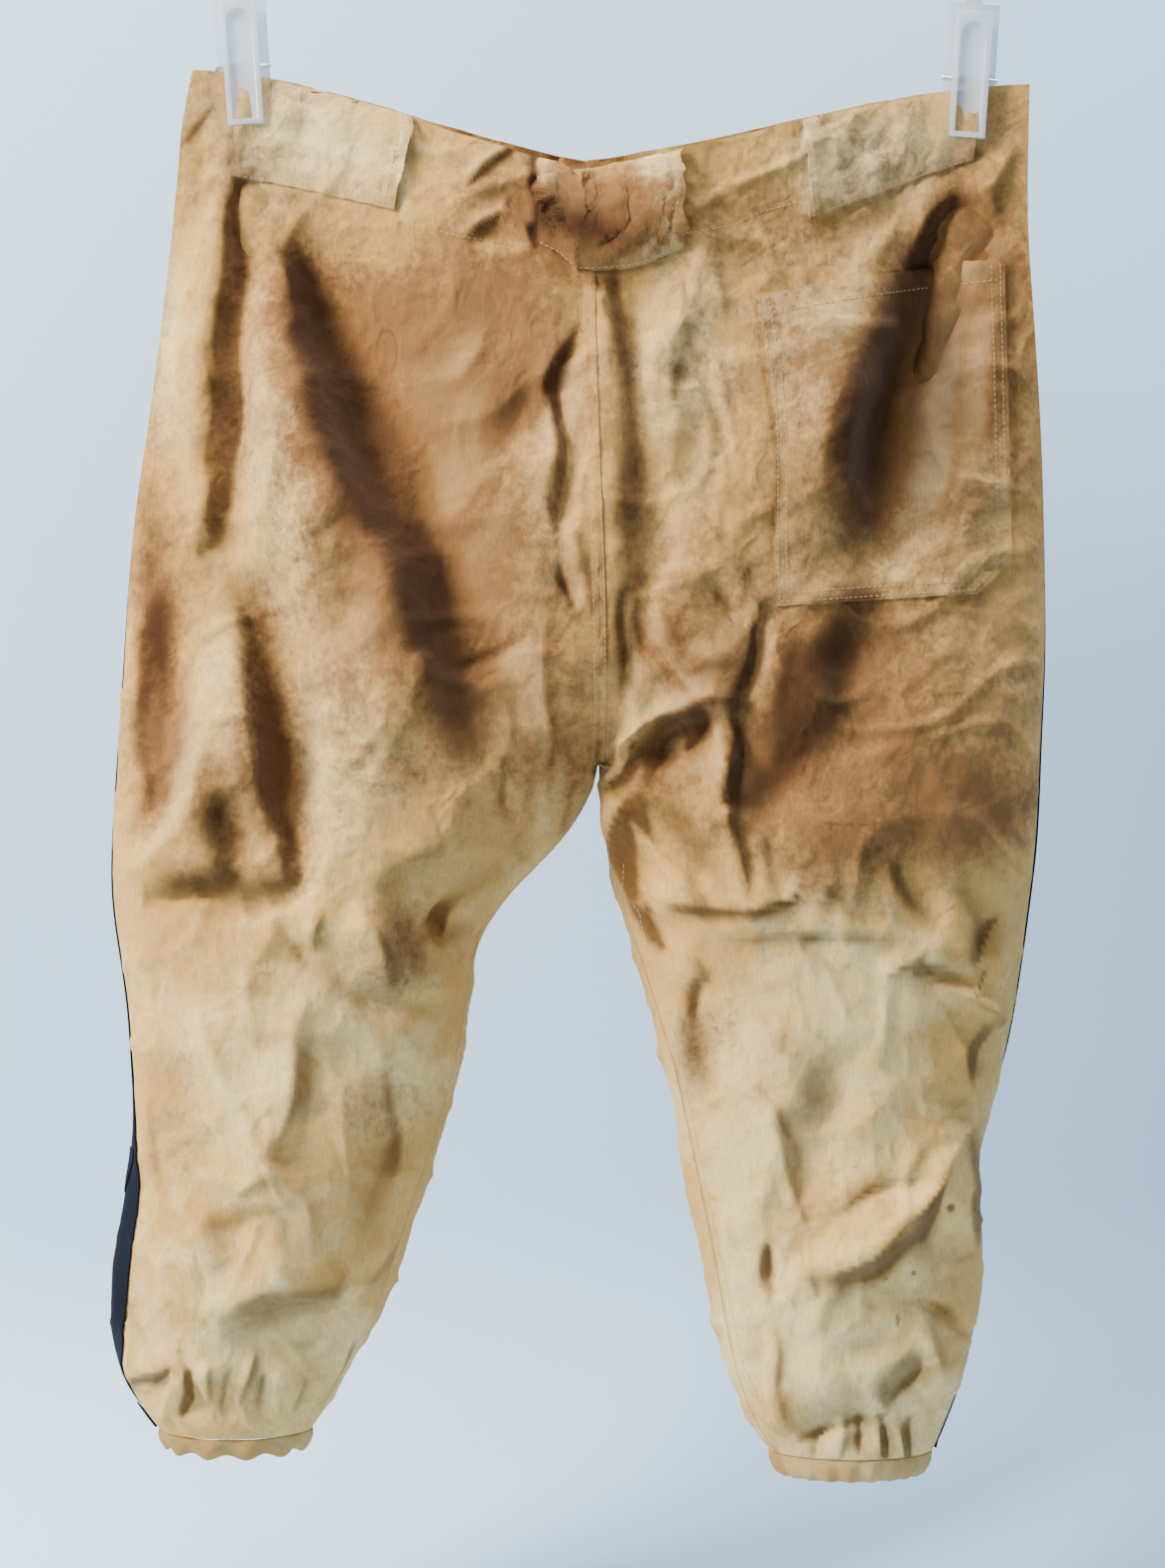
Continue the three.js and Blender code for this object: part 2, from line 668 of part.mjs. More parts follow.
const cloth = { color: '#c6a878', roughness: 0.92, metalness: 0 };
const clothLight = { color: '#d3bb92', roughness: 0.92, metalness: 0 };
const navy = { color: '#1d2440', roughness: 0.85, metalness: 0 };
const bone = { color: '#cfc4ab', roughness: 0.45, metalness: 0 };
const clear = { color: '#dfe8ee', roughness: 0.12, metalness: 0 };
const steel = { color: '#b9bcc0', roughness: 0.3, metalness: 1 };

const pants = new THREE.Group();

function add(parent, name, geometry, finish) {
  const mesh = new THREE.Mesh(geometry, new THREE.MeshStandardMaterial(finish));
  mesh.name = name;
  parent.add(mesh);
  return mesh;
}

for (const face of ['back', 'front']) {
  for (const half of ['left', 'right']) {
    add(pants, `${face}_${half}`, panelGeometry(grids[face][half], half), cloth);
  }
}
for (const [name, tunnel] of Object.entries(TUNNELS)) {
  add(pants, name, tunnelGeometry(tunnel), clothLight);
}
add(pants, 'pocket_back', pocketGeometry(), clothLight);
add(pants, 'fly_flap', patchGeometry('front', FLY_OUTLINE, () => 0), clothLight);
for (const half of ['left', 'right']) {
  add(pants, `braid_${half}`, braidGeometry(half), navy);
  add(pants, `casing_${half}`, casingGeometry(half), cloth);
}

// The button sits square on the fly flap
function addButton() {
  const grid = grids.front.left;
  const normal = grid.normals[BUTTON_ROW][1];
  const under = WALL + SEAM_GAP + PATCH_WALL + BUTTON_CLEAR + BUTTON_THICKNESS / 2;
  const button = new THREE.CylinderGeometry(BUTTON_RADIUS, BUTTON_RADIUS, BUTTON_THICKNESS, 24);
  const mesh = add(pants, 'waist_button', button, bone);
  mesh.position.copy(grid.points[BUTTON_ROW][1]).addScaledVector(normal, under);
  mesh.quaternion.setFromUnitVectors(new THREE.Vector3(0, 1, 0), normal);
}
addButton();

// Clips

// The layers between the jaws: front panel, back panel and a belt tunnel
const PLATE_FACE = HALF_GAP + WALL + SEAM_GAP;
const JAW_FACE = -(HALF_GAP + WALL + SEAM_GAP + PATCH_WALL + SEAM_GAP);

// A plate outline with an arched top, x across and y up
function archedShape(Kind, width, bottom, top) {
  const shape = new Kind();
  shape.moveTo(-width / 2, bottom);
  shape.lineTo(width / 2, bottom);
  shape.lineTo(width / 2, top - width / 2);
  shape.absarc(0, top - width / 2, width / 2, 0, Math.PI, false);
  shape.lineTo(-width / 2, bottom);
  return shape;
}

// A shape extruded along Y, from one depth to another
function slab(shape, from, to) {
  const options = { depth: to - from, bevelEnabled: false, curveSegments: 10 };
  const geometry = new THREE.ExtrudeGeometry(shape, options);
  geometry.rotateX(Math.PI / 2);
  geometry.translate(0, to, 0);
  return geometry;
}

function rectangle(width, bottom, top) {
  const half = width / 2;
  const corners = [[-half, bottom], [half, bottom], [half, top], [-half, top]];
  return new THREE.Shape(corners.map(([x, y]) => new THREE.Vector2(x, y)));
}

// The jaw on the seat side: a plate with a raised rim round its arched channel
function jawGeometry() {
  const back = slab(rectangle(JAW.width, JAW.bottom, JAW.top), JAW_FACE - JAW.plate, JAW_FACE);
  const rimShape = rectangle(JAW.width, JAW.bottom, JAW.top);
  const channel = JAW.width - 2 * JAW.border;
  rimShape.holes.push(archedShape(THREE.Path, channel, JAW.bottom + JAW.border, JAW.open));
  const rim = slab(rimShape, JAW_FACE - JAW.plate - JAW.rim, JAW_FACE - JAW.plate / 2);
  return toGeometry(toSolid(back).add(toSolid(rim)));
}

// The wider plate behind, with its neck and the ring that runs on the rod
function plateGeometry() {
  const far = PLATE_FACE + PLATE.thick;
  const body = toSolid(slab(rectangle(PLATE.width, PLATE.bottom, PLATE.top), PLATE_FACE, far));
  const neckShape = rectangle(PLATE.neck, PLATE.top - NECK_OVERLAP, RING.height);
  const neck = toSolid(slab(neckShape, PLATE_FACE + NECK_INSET, far - NECK_INSET));
  const ring = new THREE.CylinderGeometry(RING.outer, RING.outer, RING.width, 24).rotateZ(Math.PI / 2);
  const hole = new THREE.CylinderGeometry(RING.inner, RING.inner, 3 * RING.width, 20).rotateZ(Math.PI / 2);
  ring.translate(0, 0, RING.height);
  hole.translate(0, 0, RING.height);
  return toGeometry(body.add(neck).add(toSolid(ring)).subtract(toSolid(hole)));
}

// The spring coil between the jaws, on the pin whose ends show beside them
function springGeometry() {
  const coil = (PLATE_FACE - JAW_FACE) / 2 - SEAM_GAP;
  const profile = [
    [0, -PIN.length / 2],
    [PIN.radius, -PIN.length / 2],
    [PIN.radius, -PIN.coil / 2],
    [coil, -PIN.coil / 2],
    [coil, PIN.coil / 2],
    [PIN.radius, PIN.coil / 2],
    [PIN.radius, PIN.length / 2],
    [0, PIN.length / 2],
  ].map(([radius, along]) => new THREE.Vector2(radius, along));
  const geometry = new THREE.LatheGeometry(profile, 16).rotateZ(Math.PI / 2);
  geometry.translate(0, (PLATE_FACE + JAW_FACE) / 2, 0);
  return toGeometry(toSolid(geometry));
}

for (const [half, { x, z, lean }] of Object.entries(CLIPS)) {
  const clip = new THREE.Group();
  clip.position.set(x, 0, z);
  clip.rotation.y = THREE.MathUtils.degToRad(lean);
  add(clip, `clip_jaw_${half}`, jawGeometry(), clear);
  add(clip, `clip_plate_${half}`, plateGeometry(), clear);
  add(clip, `clip_spring_${half}`, springGeometry(), steel);
  pants.add(clip);
}

// Hanger

function rodGeometry() {
  const profile = [
    [0, -ROD.half],
    [ROD.capRadius, -ROD.half],
    [ROD.capRadius, -ROD.half + ROD.cap],
    [ROD.radius, -ROD.half + ROD.cap],
    [ROD.radius, ROD.half - ROD.cap],
    [ROD.capRadius, ROD.half - ROD.cap],
    [ROD.capRadius, ROD.half],
    [0, ROD.half],
  ].map(([radius, along]) => new THREE.Vector2(radius, along));
  return toGeometry(toSolid(new THREE.LatheGeometry(profile, 12).rotateZ(Math.PI / 2)));
}

// The block that joins the hook's stem to the rod
function ferruleGeometry() {
  const height = FERRULE.below + FERRULE.above;
  const block = new THREE.CylinderGeometry(FERRULE.radius, FERRULE.radius, height, 20);
  block.rotateX(Math.PI / 2);
  block.translate(0, 0, ROD_HEIGHT + (FERRULE.above - FERRULE.below) / 2);
  const bore = ROD.radius + SEAM_GAP;
  const rodHole = new THREE.CylinderGeometry(bore, bore, DRILL, 16).rotateZ(Math.PI / 2);
  rodHole.translate(0, 0, ROD_HEIGHT);
  const stemHole = new THREE.CylinderGeometry(bore, bore, DRILL, 16).rotateX(Math.PI / 2);
  stemHole.translate(0, 0, STEM_END + DRILL / 2);
  return toGeometry(toSolid(block).subtract(toSolid(rodHole)).subtract(toSolid(stemHole)));
}

// The hook: a straight stem, then a round bend over the rail
function hookGeometry() {
  const middle = HOOK.wire - HOOK.radius;
  const stem = STEM_END + 2 * SEAM_GAP;
  const route = [[0, stem], [0, stem + HOOK_STEM.straight], [0, HOOK_STEM.bendFrom], HOOK_STEM.lead];
  for (let degrees = HOOK.start; degrees >= HOOK.end; degrees -= HOOK.step) {
    const angle = THREE.MathUtils.degToRad(degrees);
    route.push([HOOK.radius * Math.cos(angle), middle + HOOK.radius * Math.sin(angle)]);
  }
  const path = new THREE.CatmullRomCurve3(route.map(([x, z]) => new THREE.Vector3(x, 0, z)));
  const shape = new THREE.Shape();
  shape.absarc(0, 0, HOOK.wire, 0, 2 * Math.PI, false);
  const tube = new THREE.ExtrudeGeometry(shape, { extrudePath: path, steps: 32, curveSegments: 4 });
  return toGeometry(toSolid(tube));
}

const hanger = new THREE.Group();
hanger.rotation.y = THREE.MathUtils.degToRad(TILT);
const rod = add(hanger, 'hanger_rod', rodGeometry(), steel);
rod.position.z = ROD_HEIGHT;
add(hanger, 'hanger_ferrule', ferruleGeometry(), steel);
add(hanger, 'hanger_hook', hookGeometry(), steel);
pants.add(hanger);

export default pants;
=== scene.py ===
import math

import bpy
import numpy as np
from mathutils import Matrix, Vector
from mathutils.bvhtree import BVHTree
from mathutils.kdtree import KDTree


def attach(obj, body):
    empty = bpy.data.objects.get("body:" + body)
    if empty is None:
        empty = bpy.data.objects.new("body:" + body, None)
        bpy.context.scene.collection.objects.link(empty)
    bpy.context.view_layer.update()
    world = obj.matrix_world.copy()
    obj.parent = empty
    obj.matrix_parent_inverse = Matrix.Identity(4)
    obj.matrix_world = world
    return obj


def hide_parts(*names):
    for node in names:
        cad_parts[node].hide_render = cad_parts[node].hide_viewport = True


# Baseball pants seen from behind, hung from two clear clips. Metres, +Z up, the
# seat faces -Y. The tables of the cloth are in millimetres, x across and z up.

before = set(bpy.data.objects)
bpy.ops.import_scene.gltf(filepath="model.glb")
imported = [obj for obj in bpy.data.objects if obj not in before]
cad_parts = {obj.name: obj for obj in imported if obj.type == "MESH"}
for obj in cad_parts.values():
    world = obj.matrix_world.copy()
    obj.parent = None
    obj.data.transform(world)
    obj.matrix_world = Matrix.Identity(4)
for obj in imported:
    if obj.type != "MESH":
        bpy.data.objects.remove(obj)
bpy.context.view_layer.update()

MM = 0.001
BACK = -1
FRONT = 1

# The view: the middle of the frame, its height, and how far off the camera stands
VIEW_X = -13.75
VIEW_Z = -544.5
VIEW_HEIGHT = 869
VIEW_DISTANCE = 1800
SENSOR = 36

# Thickness of the cloth, of a layer sewn to it, of the centre seam and of the stripe,
# the gap under a layer, and how far the stripe's face stands off the panel
WALL = 1.5
PATCH_WALL = 1.2
SEAM_WALL = 0.6
BRAID_WALL = 0.8
PATCH_CLEAR = 0.35
BRAID_STAND = 1.3

# A solid's faces: those of its rim have a side shorter than RIM_EDGE, those below HIP
# belong to a leg, its middle is found in a band of this half height, and a face whose
# normal has more than this share along Y belongs to the seat or the front
RIM_EDGE = 2.3
HIP = -560
BAND = 30
FLAT_FACE = 0.3

# The panels: how finely they are divided, how far their creases fade towards a seam,
# and where the centre seam and the waist's edge are
PANEL_LEVELS = 3
SEAM_FADE = 15
SEAM_END = -535
SEAM_HALF = 20
WAIST_LOW = -212
WAIST_HALF = 222

# The clips hold the cloth flat round these places
CLIP_PLACES = ((-201.8, -165), (200.7, -172))
CLIP_REACH = 34


def deselect():
    if bpy.context.object and bpy.context.object.mode != "OBJECT":
        bpy.ops.object.mode_set(mode="OBJECT")
    bpy.ops.object.select_all(action="DESELECT")


def take(piece):
    """Makes a piece the only one selected."""
    deselect()
    piece.select_set(True)
    bpy.context.view_layer.objects.active = piece


def edit(piece):
    """Opens a piece in edit mode, with all of it selected."""
    take(piece)
    bpy.ops.object.mode_set(mode="EDIT")
    bpy.ops.mesh.select_all(action="SELECT")


def leave_edit():
    bpy.ops.object.mode_set(mode="OBJECT")


def named(name):
    """Names the object that an operator has just added."""
    piece = bpy.context.object
    piece.name = name
    piece.data.name = name
    return piece


def modify(piece, kind, **settings):
    """Adds a modifier with these settings and applies it."""
    take(piece)
    modifier = piece.modifiers.new(kind.title(), kind)
    for key, value in settings.items():
        setattr(modifier, key, value)
    bpy.ops.object.modifier_apply(modifier=modifier.name)


def settle(piece):
    """Moves a piece's place into its mesh."""
    take(piece)
    bpy.ops.object.transform_apply(location=True, rotation=True, scale=True)


def smooth_shade(piece, degrees=50):
    take(piece)
    bpy.ops.object.shade_smooth_by_angle(angle=math.radians(degrees))


def coordinates(piece):
    flat = np.empty(len(piece.data.vertices) * 3)
    piece.data.vertices.foreach_get("co", flat)
    return flat.reshape(-1, 3)


def place(piece, points):
    piece.data.vertices.foreach_set("co", np.asarray(points, float).ravel())
    piece.data.update()


def normals(piece):
    flat = np.empty(len(piece.data.vertices) * 3)
    piece.data.vertices.foreach_get("normal", flat)
    return flat.reshape(-1, 3)


def ease(value, low, high):
    """Rises smoothly from 0 at low to 1 at high."""
    share = np.clip((value - low) / (high - low), 0, 1)
    return share * share * (3 - 2 * share)


def seen(points):
    """Where the camera sees points in millimetres, as x and z on the middle plane."""
    nearer = VIEW_DISTANCE / (VIEW_DISTANCE + points[:, 1])
    x = VIEW_X + (points[:, 0] - VIEW_X) * nearer
    z = VIEW_Z + (points[:, 2] - VIEW_Z) * nearer
    return x, z


WAVES = 7


def wander(x, z, length, seed):
    """A slow wave over the cloth, about -1 to 1, with swells of this length."""
    draw = np.random.default_rng(seed)
    total = np.zeros_like(x)
    for _ in range(WAVES):
        heading = draw.uniform(0, 2 * math.pi)
        wave = length * draw.uniform(0.7, 1.5)
        phase = draw.uniform(0, 2 * math.pi)
        run = x * math.cos(heading) + z * math.sin(heading)
        total += np.sin(2 * math.pi * run / wave + phase)
    return total / (WAVES / 2)


def crumple(x, z, length, seed):
    """Sharp small ridges that wander over the cloth, from 0 on the flat to 1."""
    return np.clip(1 - 3 * np.abs(wander(x, z, length, seed)), 0, 1) ** 1.5


# Wrinkles all over a panel: their kind, height, length and seed
WRINKLES = [
    (wander, 0.8, 46, 21),
    (crumple, 2.0, 105, 25),
    (crumple, 1.3, 64, 23),
    (crumple, 0.6, 33, 24),
]


# Creases

# Soft creases of the back: the route in x and z, the half width, the height out of
# the cloth, and how round the crest is, from 1, pointed, to 2
BACK_CREASES = [
    # left seat
    ([(-168, -292), (-185, -250), (-206, -210), (-222, -200)], 5, 3.4, 1.2),
    ([(-239, -200), (-230, -192), (-214, -164)], 4, -2.6, 1.2),
    ([(-196, -200), (-204, -260), (-200, -340), (-206, -400)], 9, -4.0, 1.5),
    ([(-190, -260), (-192, -340), (-186, -425)], 9, 3.0, 1.5),
    ([(-222, -290), (-214, -340), (-216, -372)], 6, -2.4, 1.4),
    ([(-232, -400), (-218, -386), (-208, -370)], 5, 2.6, 1.3),
    ([(-172, -236), (-150, -300), (-118, -372), (-98, -424)], 14, -4.4, 1.6),
    ([(-128, -342), (-110, -398), (-96, -446), (-82, -480)], 10, 2.2, 1.5),
    ([(-150, -384), (-163, -408), (-152, -455)], 8, 2.4, 1.5),
    ([(-58, -363), (-76, -396), (-94, -428)], 5, 2.4, 1.3),
    ([(-62, -368), (-80, -402), (-98, -432)], 4, -2.0, 1.2),
    ([(-82, -484), (-60, -470), (-40, -460)], 4, -2.4, 1.2),
    ([(-90, -330), (-74, -308), (-60, -290)], 6, 2.2, 1.4),
    ([(-30, -352), (-24, -318), (-14, -286)], 5, -4.4, 1.2),
    ([(-41, -334), (-34, -320), (-22, -298)], 5, 3.0, 1.3),
    ([(-33, -326), (-31, -366), (-30, -412)], 4, 3.6, 1.2),
    ([(-26, -326), (-25, -372), (-25, -420)], 4, -3.0, 1.3),
    ([(-28, -418), (-24, -432), (-18, -448)], 2.6, -3.6, 1.1),
    ([(-20, -400), (-14, -428), (-10, -452)], 4, 2.4, 1.3),
    ([(-33, -440), (-34, -508), (-33, -576)], 3, 1.6, 1.1),
    ([(-130, -164), (-120, -182), (-112, -200)], 6, 1.6, 1.4),
    ([(-82, -214), (-70, -204), (-55, -192), (-50, -178)], 2.2, 2.6, 1.1),
    ([(-84, -241), (-70, -232), (-58, -227), (-46, -236), (-40, -250)], 2.4, 3.0, 1.1),
    ([(-78, -246), (-62, -240), (-50, -250)], 5, -2.0, 1.3),
    ([(-45, -168), (-38, -190), (-39, -222)], 3.4, -3.0, 1.2),
    ([(-158, -500), (-152, -545), (-160, -600)], 10, 3.0, 1.5),
    ([(-120, -500), (-100, -540), (-74, -566)], 9, -2.6, 1.5),
    ([(-108, -480), (-122, -512), (-140, -548)], 6, -2.0, 1.4),
    ([(-100, -470), (-114, -506), (-130, -540)], 6, 2.0, 1.4),
    ([(-160, -420), (-166, -400), (-158, -376)], 6, 1.8, 1.4),
    ([(-188, -500), (-178, -534), (-168, -560)], 6, -2.2, 1.3),
    ([(-222, -546), (-210, -550), (-198, -548)], 4, 2.2, 1.2),
    ([(-214, -556), (-212, -574), (-208, -592)], 6, -2.4, 1.4),
    ([(-28, -530), (-40, -556), (-48, -584)], 6, -2.4, 1.4),
    ([(-16, -530), (-24, -556), (-38, -590)], 5, 2.6, 1.4),
    ([(-52, -530), (-56, -552), (-52, -574)], 4, -2.4, 1.3),
    ([(-176, -586), (-164, -592), (-154, -600)], 3, 1.8, 1.2),
    # left thigh and leg
    ([(-98, -616), (-90, -621), (-86, -634)], 4, -7.0, 1.1),
    ([(-84, -630), (-76, -634), (-72, -642)], 4, 3.0, 1.2),
    ([(-158, -614), (-162, -624), (-165, -635)], 3.4, 3.4, 1.2),
    ([(-140, -608), (-132, -628), (-118, -662)], 4, 3.6, 1.2),
    ([(-128, -622), (-112, -648), (-98, -664)], 9, -2.4, 1.5),
    ([(-232, -664), (-211, -711), (-190, -750), (-170, -776), (-163, -808)], 6, 4.2, 1.2),
    ([(-236, -690), (-214, -722), (-196, -752)], 9, -2.6, 1.4),
    ([(-167, -660), (-176, -706), (-185, -753)], 5, 3.2, 1.2),
    ([(-158, -668), (-162, -712), (-168, -748)], 7, -2.0, 1.4),
    ([(-226, -764), (-204, -770), (-182, -754)], 5, 2.6, 1.3),
    ([(-226, -790), (-206, -792), (-188, -786), (-172, -776)], 5, -2.6, 1.3),
    ([(-194, -786), (-200, -806), (-206, -822)], 4, 2.6, 1.2),
    ([(-178, -778), (-176, -800), (-170, -820)], 5, -2.2, 1.4),
    ([(-232, -800), (-224, -816), (-218, -832)], 5, -2.4, 1.3),
    ([(-252, -720), (-248, -750), (-240, -780)], 6, -2.0, 1.4),
    ([(-216, -846), (-186, -836), (-140, -828)], 9, -3.6, 1.4),
    ([(-214, -832), (-180, -824), (-144, -816)], 8, 2.6, 1.5),
    ([(-264, -830), (-256, -846), (-250, -866)], 4, -2.4, 1.3),
    ([(-266, -878), (-252, -879), (-242, -870)], 3, -4.0, 1.1),
    ([(-262, -872), (-250, -872), (-242, -864)], 4, 3.0, 1.3),
    ([(-240, -862), (-236, -878), (-230, -892)], 4, 3.0, 1.3),
    ([(-232, -868), (-230, -884), (-236, -898)], 4.4, -6.0, 1.2),
    ([(-222, -862), (-222, -878), (-220, -890)], 4, 3.4, 1.2),
    ([(-208, -866), (-207, -882), (-210, -898)], 3.4, -2.8, 1.2),
    ([(-199, -856), (-201, -876), (-203, -892)], 3.4, 3.0, 1.2),
    ([(-190, -872), (-190, -886), (-190, -898)], 4, -2.6, 1.2),
    ([(-166, -862), (-170, -880), (-176, -896)], 4, 2.4, 1.3),
    ([(-140, -850), (-146, -868), (-158, -886)], 3, 2.6, 1.2),
    ([(-120, -700), (-112, -736), (-118, -770)], 6, -2.0, 1.4),
    ([(-112, -790), (-126, -812), (-142, -830)], 5, 2.0, 1.3),
    # right seat
    ([(6, -250), (12, -310), (18, -366), (14, -428)], 9, -3.6, 1.5),
    ([(28, -262), (36, -330), (30, -400)], 9, 3.0, 1.5),
    ([(46, -310), (42, -322), (38, -336)], 4, -2.4, 1.2),
    ([(56, -300), (58, -330), (70, -372)], 6, -2.0, 1.4),
    ([(62, -300), (66, -340), (74, -370)], 4, 2.2, 1.2),
    ([(30, -300), (24, -330), (28, -352)], 4, 2.0, 1.3),
    ([(40, -262), (36, -284), (44, -304)], 4, 1.8, 1.3),
    ([(52, -236), (60, -262), (66, -290)], 5, 2.4, 1.3),
    ([(10, -436), (12, -470), (8, -500)], 4, -4.0, 1.2),
    ([(18, -440), (22, -470), (38, -488), (48, -498)], 4, -3.4, 1.1),
    ([(26, -436), (34, -462), (52, -486)], 5, 2.8, 1.3),
    ([(36, -374), (46, -392), (62, -412)], 4, 2.4, 1.2),
    ([(58, -428), (74, -434), (84, -442), (80, -462)], 3.6, 3.2, 1.2),
    ([(60, -440), (72, -446), (78, -456)], 4, -2.8, 1.2),
    ([(34, -420), (52, -430), (66, -424)], 5, 1.8, 1.3),
    ([(44, -470), (60, -474), (70, -466)], 5, 2.2, 1.3),
    ([(150, -192), (152, -206), (156, -226)], 4, 2.0, 1.3),
    ([(122, -180), (124, -192), (130, -206)], 4, 2.2, 1.3),
    ([(138, -176), (140, -190), (143, -202)], 4, -1.8, 1.3),
    ([(158, -230), (150, -244), (144, -262)], 4, 2.4, 1.2),
    ([(196, -218), (182, -240), (170, -262)], 8, -5.0, 1.4),
    ([(214, -196), (206, -232), (204, -262)], 7, 3.0, 1.5),
    ([(168, -276), (154, -330), (140, -392)], 11, -4.6, 1.6),
    ([(132, -292), (124, -340), (112, -396)], 8, 2.6, 1.5),
    ([(196, -280), (188, -340), (184, -400)], 10, 2.4, 1.6),
    ([(212, -276), (214, -320), (208, -356)], 5, 1.8, 1.4),
    ([(124, -410), (110, -470), (96, -520)], 12, -3.0, 1.6),
    # crotch
    ([(-12, -548), (8, -534), (18, -520), (24, -508), (44, -501), (62, -496), (84, -500)], 4, 6.5, 1.2),
    ([(10, -540), (24, -526), (40, -514), (62, -506)], 6, -5.0, 1.4),
    ([(20, -546), (32, -536), (44, -530)], 5, -2.4, 1.4),
    ([(42, -530), (50, -516), (62, -507)], 4, -3.6, 1.2),
    # right thigh and leg
    ([(-12, -536), (10, -562), (36, -592), (54, -614)], 4, 5.5, 1.2),
    ([(58, -496), (63, -536), (70, -570), (77, -612)], 4.5, 6.0, 1.2),
    ([(82, -446), (78, -492), (75, -521), (66, -566)], 5, -6.0, 1.3),
    ([(66, -560), (98, -584), (122, -602), (140, -624)], 4, 3.6, 1.2),
    ([(72, -560), (64, -566), (54, -572)], 4, 2.6, 1.2),
    ([(38, -590), (48, -602), (66, -602)], 3, 1.8, 1.2),
    ([(8, -556), (10, -586), (18, -612)], 6, -6.0, 1.4),
    ([(20, -616), (32, -630), (44, -646)], 4, -5.0, 1.1),
    ([(34, -634), (50, -644), (56, -656)], 4, 3.6, 1.2),
    ([(54, -650), (50, -664), (46, -676)], 4, -3.0, 1.2),
    ([(62, -628), (90, -625), (124, -624), (144, -625), (170, -634)], 4, 3.6, 1.1),
    ([(106, -636), (120, -632), (132, -629)], 4, -2.6, 1.2),
    ([(98, -604), (110, -606), (126, -614)], 4, 3.0, 1.2),
    ([(150, -652), (162, -646), (175, -643)], 4, 3.6, 1.2),
    ([(170, -649), (186, -650), (204, -654)], 3, -4.6, 1.1),
    ([(180, -655), (200, -664), (219, -677)], 4, 5.0, 1.2),
    ([(160, -575), (174, -610), (194, -640)], 5, -3.0, 1.2),
    ([(152, -580), (166, -614), (184, -644)], 6, 2.4, 1.4),
    ([(219, -616), (212, -632), (205, -648)], 4, -3.6, 1.3),
    ([(160, -575), (148, -584), (140, -594)], 5, -1.8, 1.3),
    ([(214, -680), (206, -694), (206, -712)], 4, -3.0, 1.2),
    ([(206, -676), (200, -696), (202, -716)], 4, 2.6, 1.3),
    ([(63, -693), (90, -726), (101, -748), (103, -774), (110, -792)], 4, 3.8, 1.1),
    ([(56, -700), (84, -732), (94, -752), (97, -776)], 8, -2.6, 1.5),
    ([(118, -790), (136, -780), (150, -770), (183, -758)], 4, -2.8, 1.2),
    ([(88, -798), (92, -816), (98, -830)], 2.4, -3.2, 1.2),
    ([(82, -794), (86, -814), (92, -834)], 4, 2.6, 1.2),
    ([(106, -806), (110, -818), (116, -828)], 4, 2.6, 1.2),
    ([(196, -736), (204, -768), (206, -806)], 4, 3.0, 1.2),
    ([(190, -742), (188, -776), (196, -812)], 7, -2.4, 1.5),
    ([(176, -778), (170, -800), (176, -826)], 6, 1.8, 1.4),
    ([(112, -856), (118, -832), (134, -816)], 8, 2.0, 1.5),
    ([(92, -840), (92, -880), (102, -904)], 3, 2.6, 1.2),
    # gathers of the right cuff
    ([(118, -900), (117, -909), (116, -920)], 3, -2.6, 1.2),
    ([(128, -895), (127, -908), (129, -920)], 3.4, 3.0, 1.2),
    ([(139, -893), (139, -908), (140, -922)], 3.4, -4.0, 1.2),
    ([(147, -890), (148, -906), (148, -922)], 3, 3.4, 1.2),
    ([(154, -892), (154, -906), (155, -922)], 3.4, -4.4, 1.2),
    ([(162, -895), (163, -908), (164, -922)], 3, 3.4, 1.2),
    ([(170, -893), (170, -907), (171, -920)], 3.4, -4.0, 1.2),
]

# Folds that roll over: the route, the width to the left of it and to its right, and
# the height out of the cloth
BACK_STEPS = [
    # left seat and thigh
    ([(-229, -418), (-214, -414), (-196, -414)], 14, 4, -4.6),
    ([(-205, -426), (-191, -485), (-179, -532), (-168, -607)], 8, 13, -6.0),
    ([(-222, -508), (-226, -522), (-232, -548), (-238, -569), (-256, -589), (-268, -595)], 10, 7, 6.0),
    ([(-256, -462), (-255, -506), (-254, -550), (-262, -583)], 7, 9, -4.0),
    ([(-258, -607), (-235, -608), (-205, -611), (-162, -611)], 26, 3.6, -8.0),
    ([(-182, -620), (-167, -641), (-151, -649), (-136, -658), (-118, -667), (-86, -670)], 14, 3.6, -6.4),
    ([(-94, -618), (-51, -589), (-26, -572)], 12, 5, -6.0),
    ([(-134, -601), (-116, -587), (-87, -575)], 16, 5, 4.0),
    # right seat
    ([(20, -600), (34, -608), (52, -612), (80, -613), (98, -608), (112, -596)], 9, 4, 6.5),
    # right lower leg
    ([(110, -815), (128, -814), (148, -804), (168, -788), (186, -760), (196, -740), (210, -726)], 9, 4, 6.4),
    ([(110, -822), (130, -822), (152, -812), (172, -796), (190, -768)], 4, 8, -4.4),
    ([(174, -829), (190, -839), (206, -852)], 4, 3, -4.6),
    ([(176, -834), (182, -860), (182, -884)], 5, 6, 4.2),
    ([(178, -860), (168, -876), (156, -891)], 3.4, 6, -6.0),
    ([(106, -908), (132, -898), (160, -892)], 7, 3, -5.0),
]

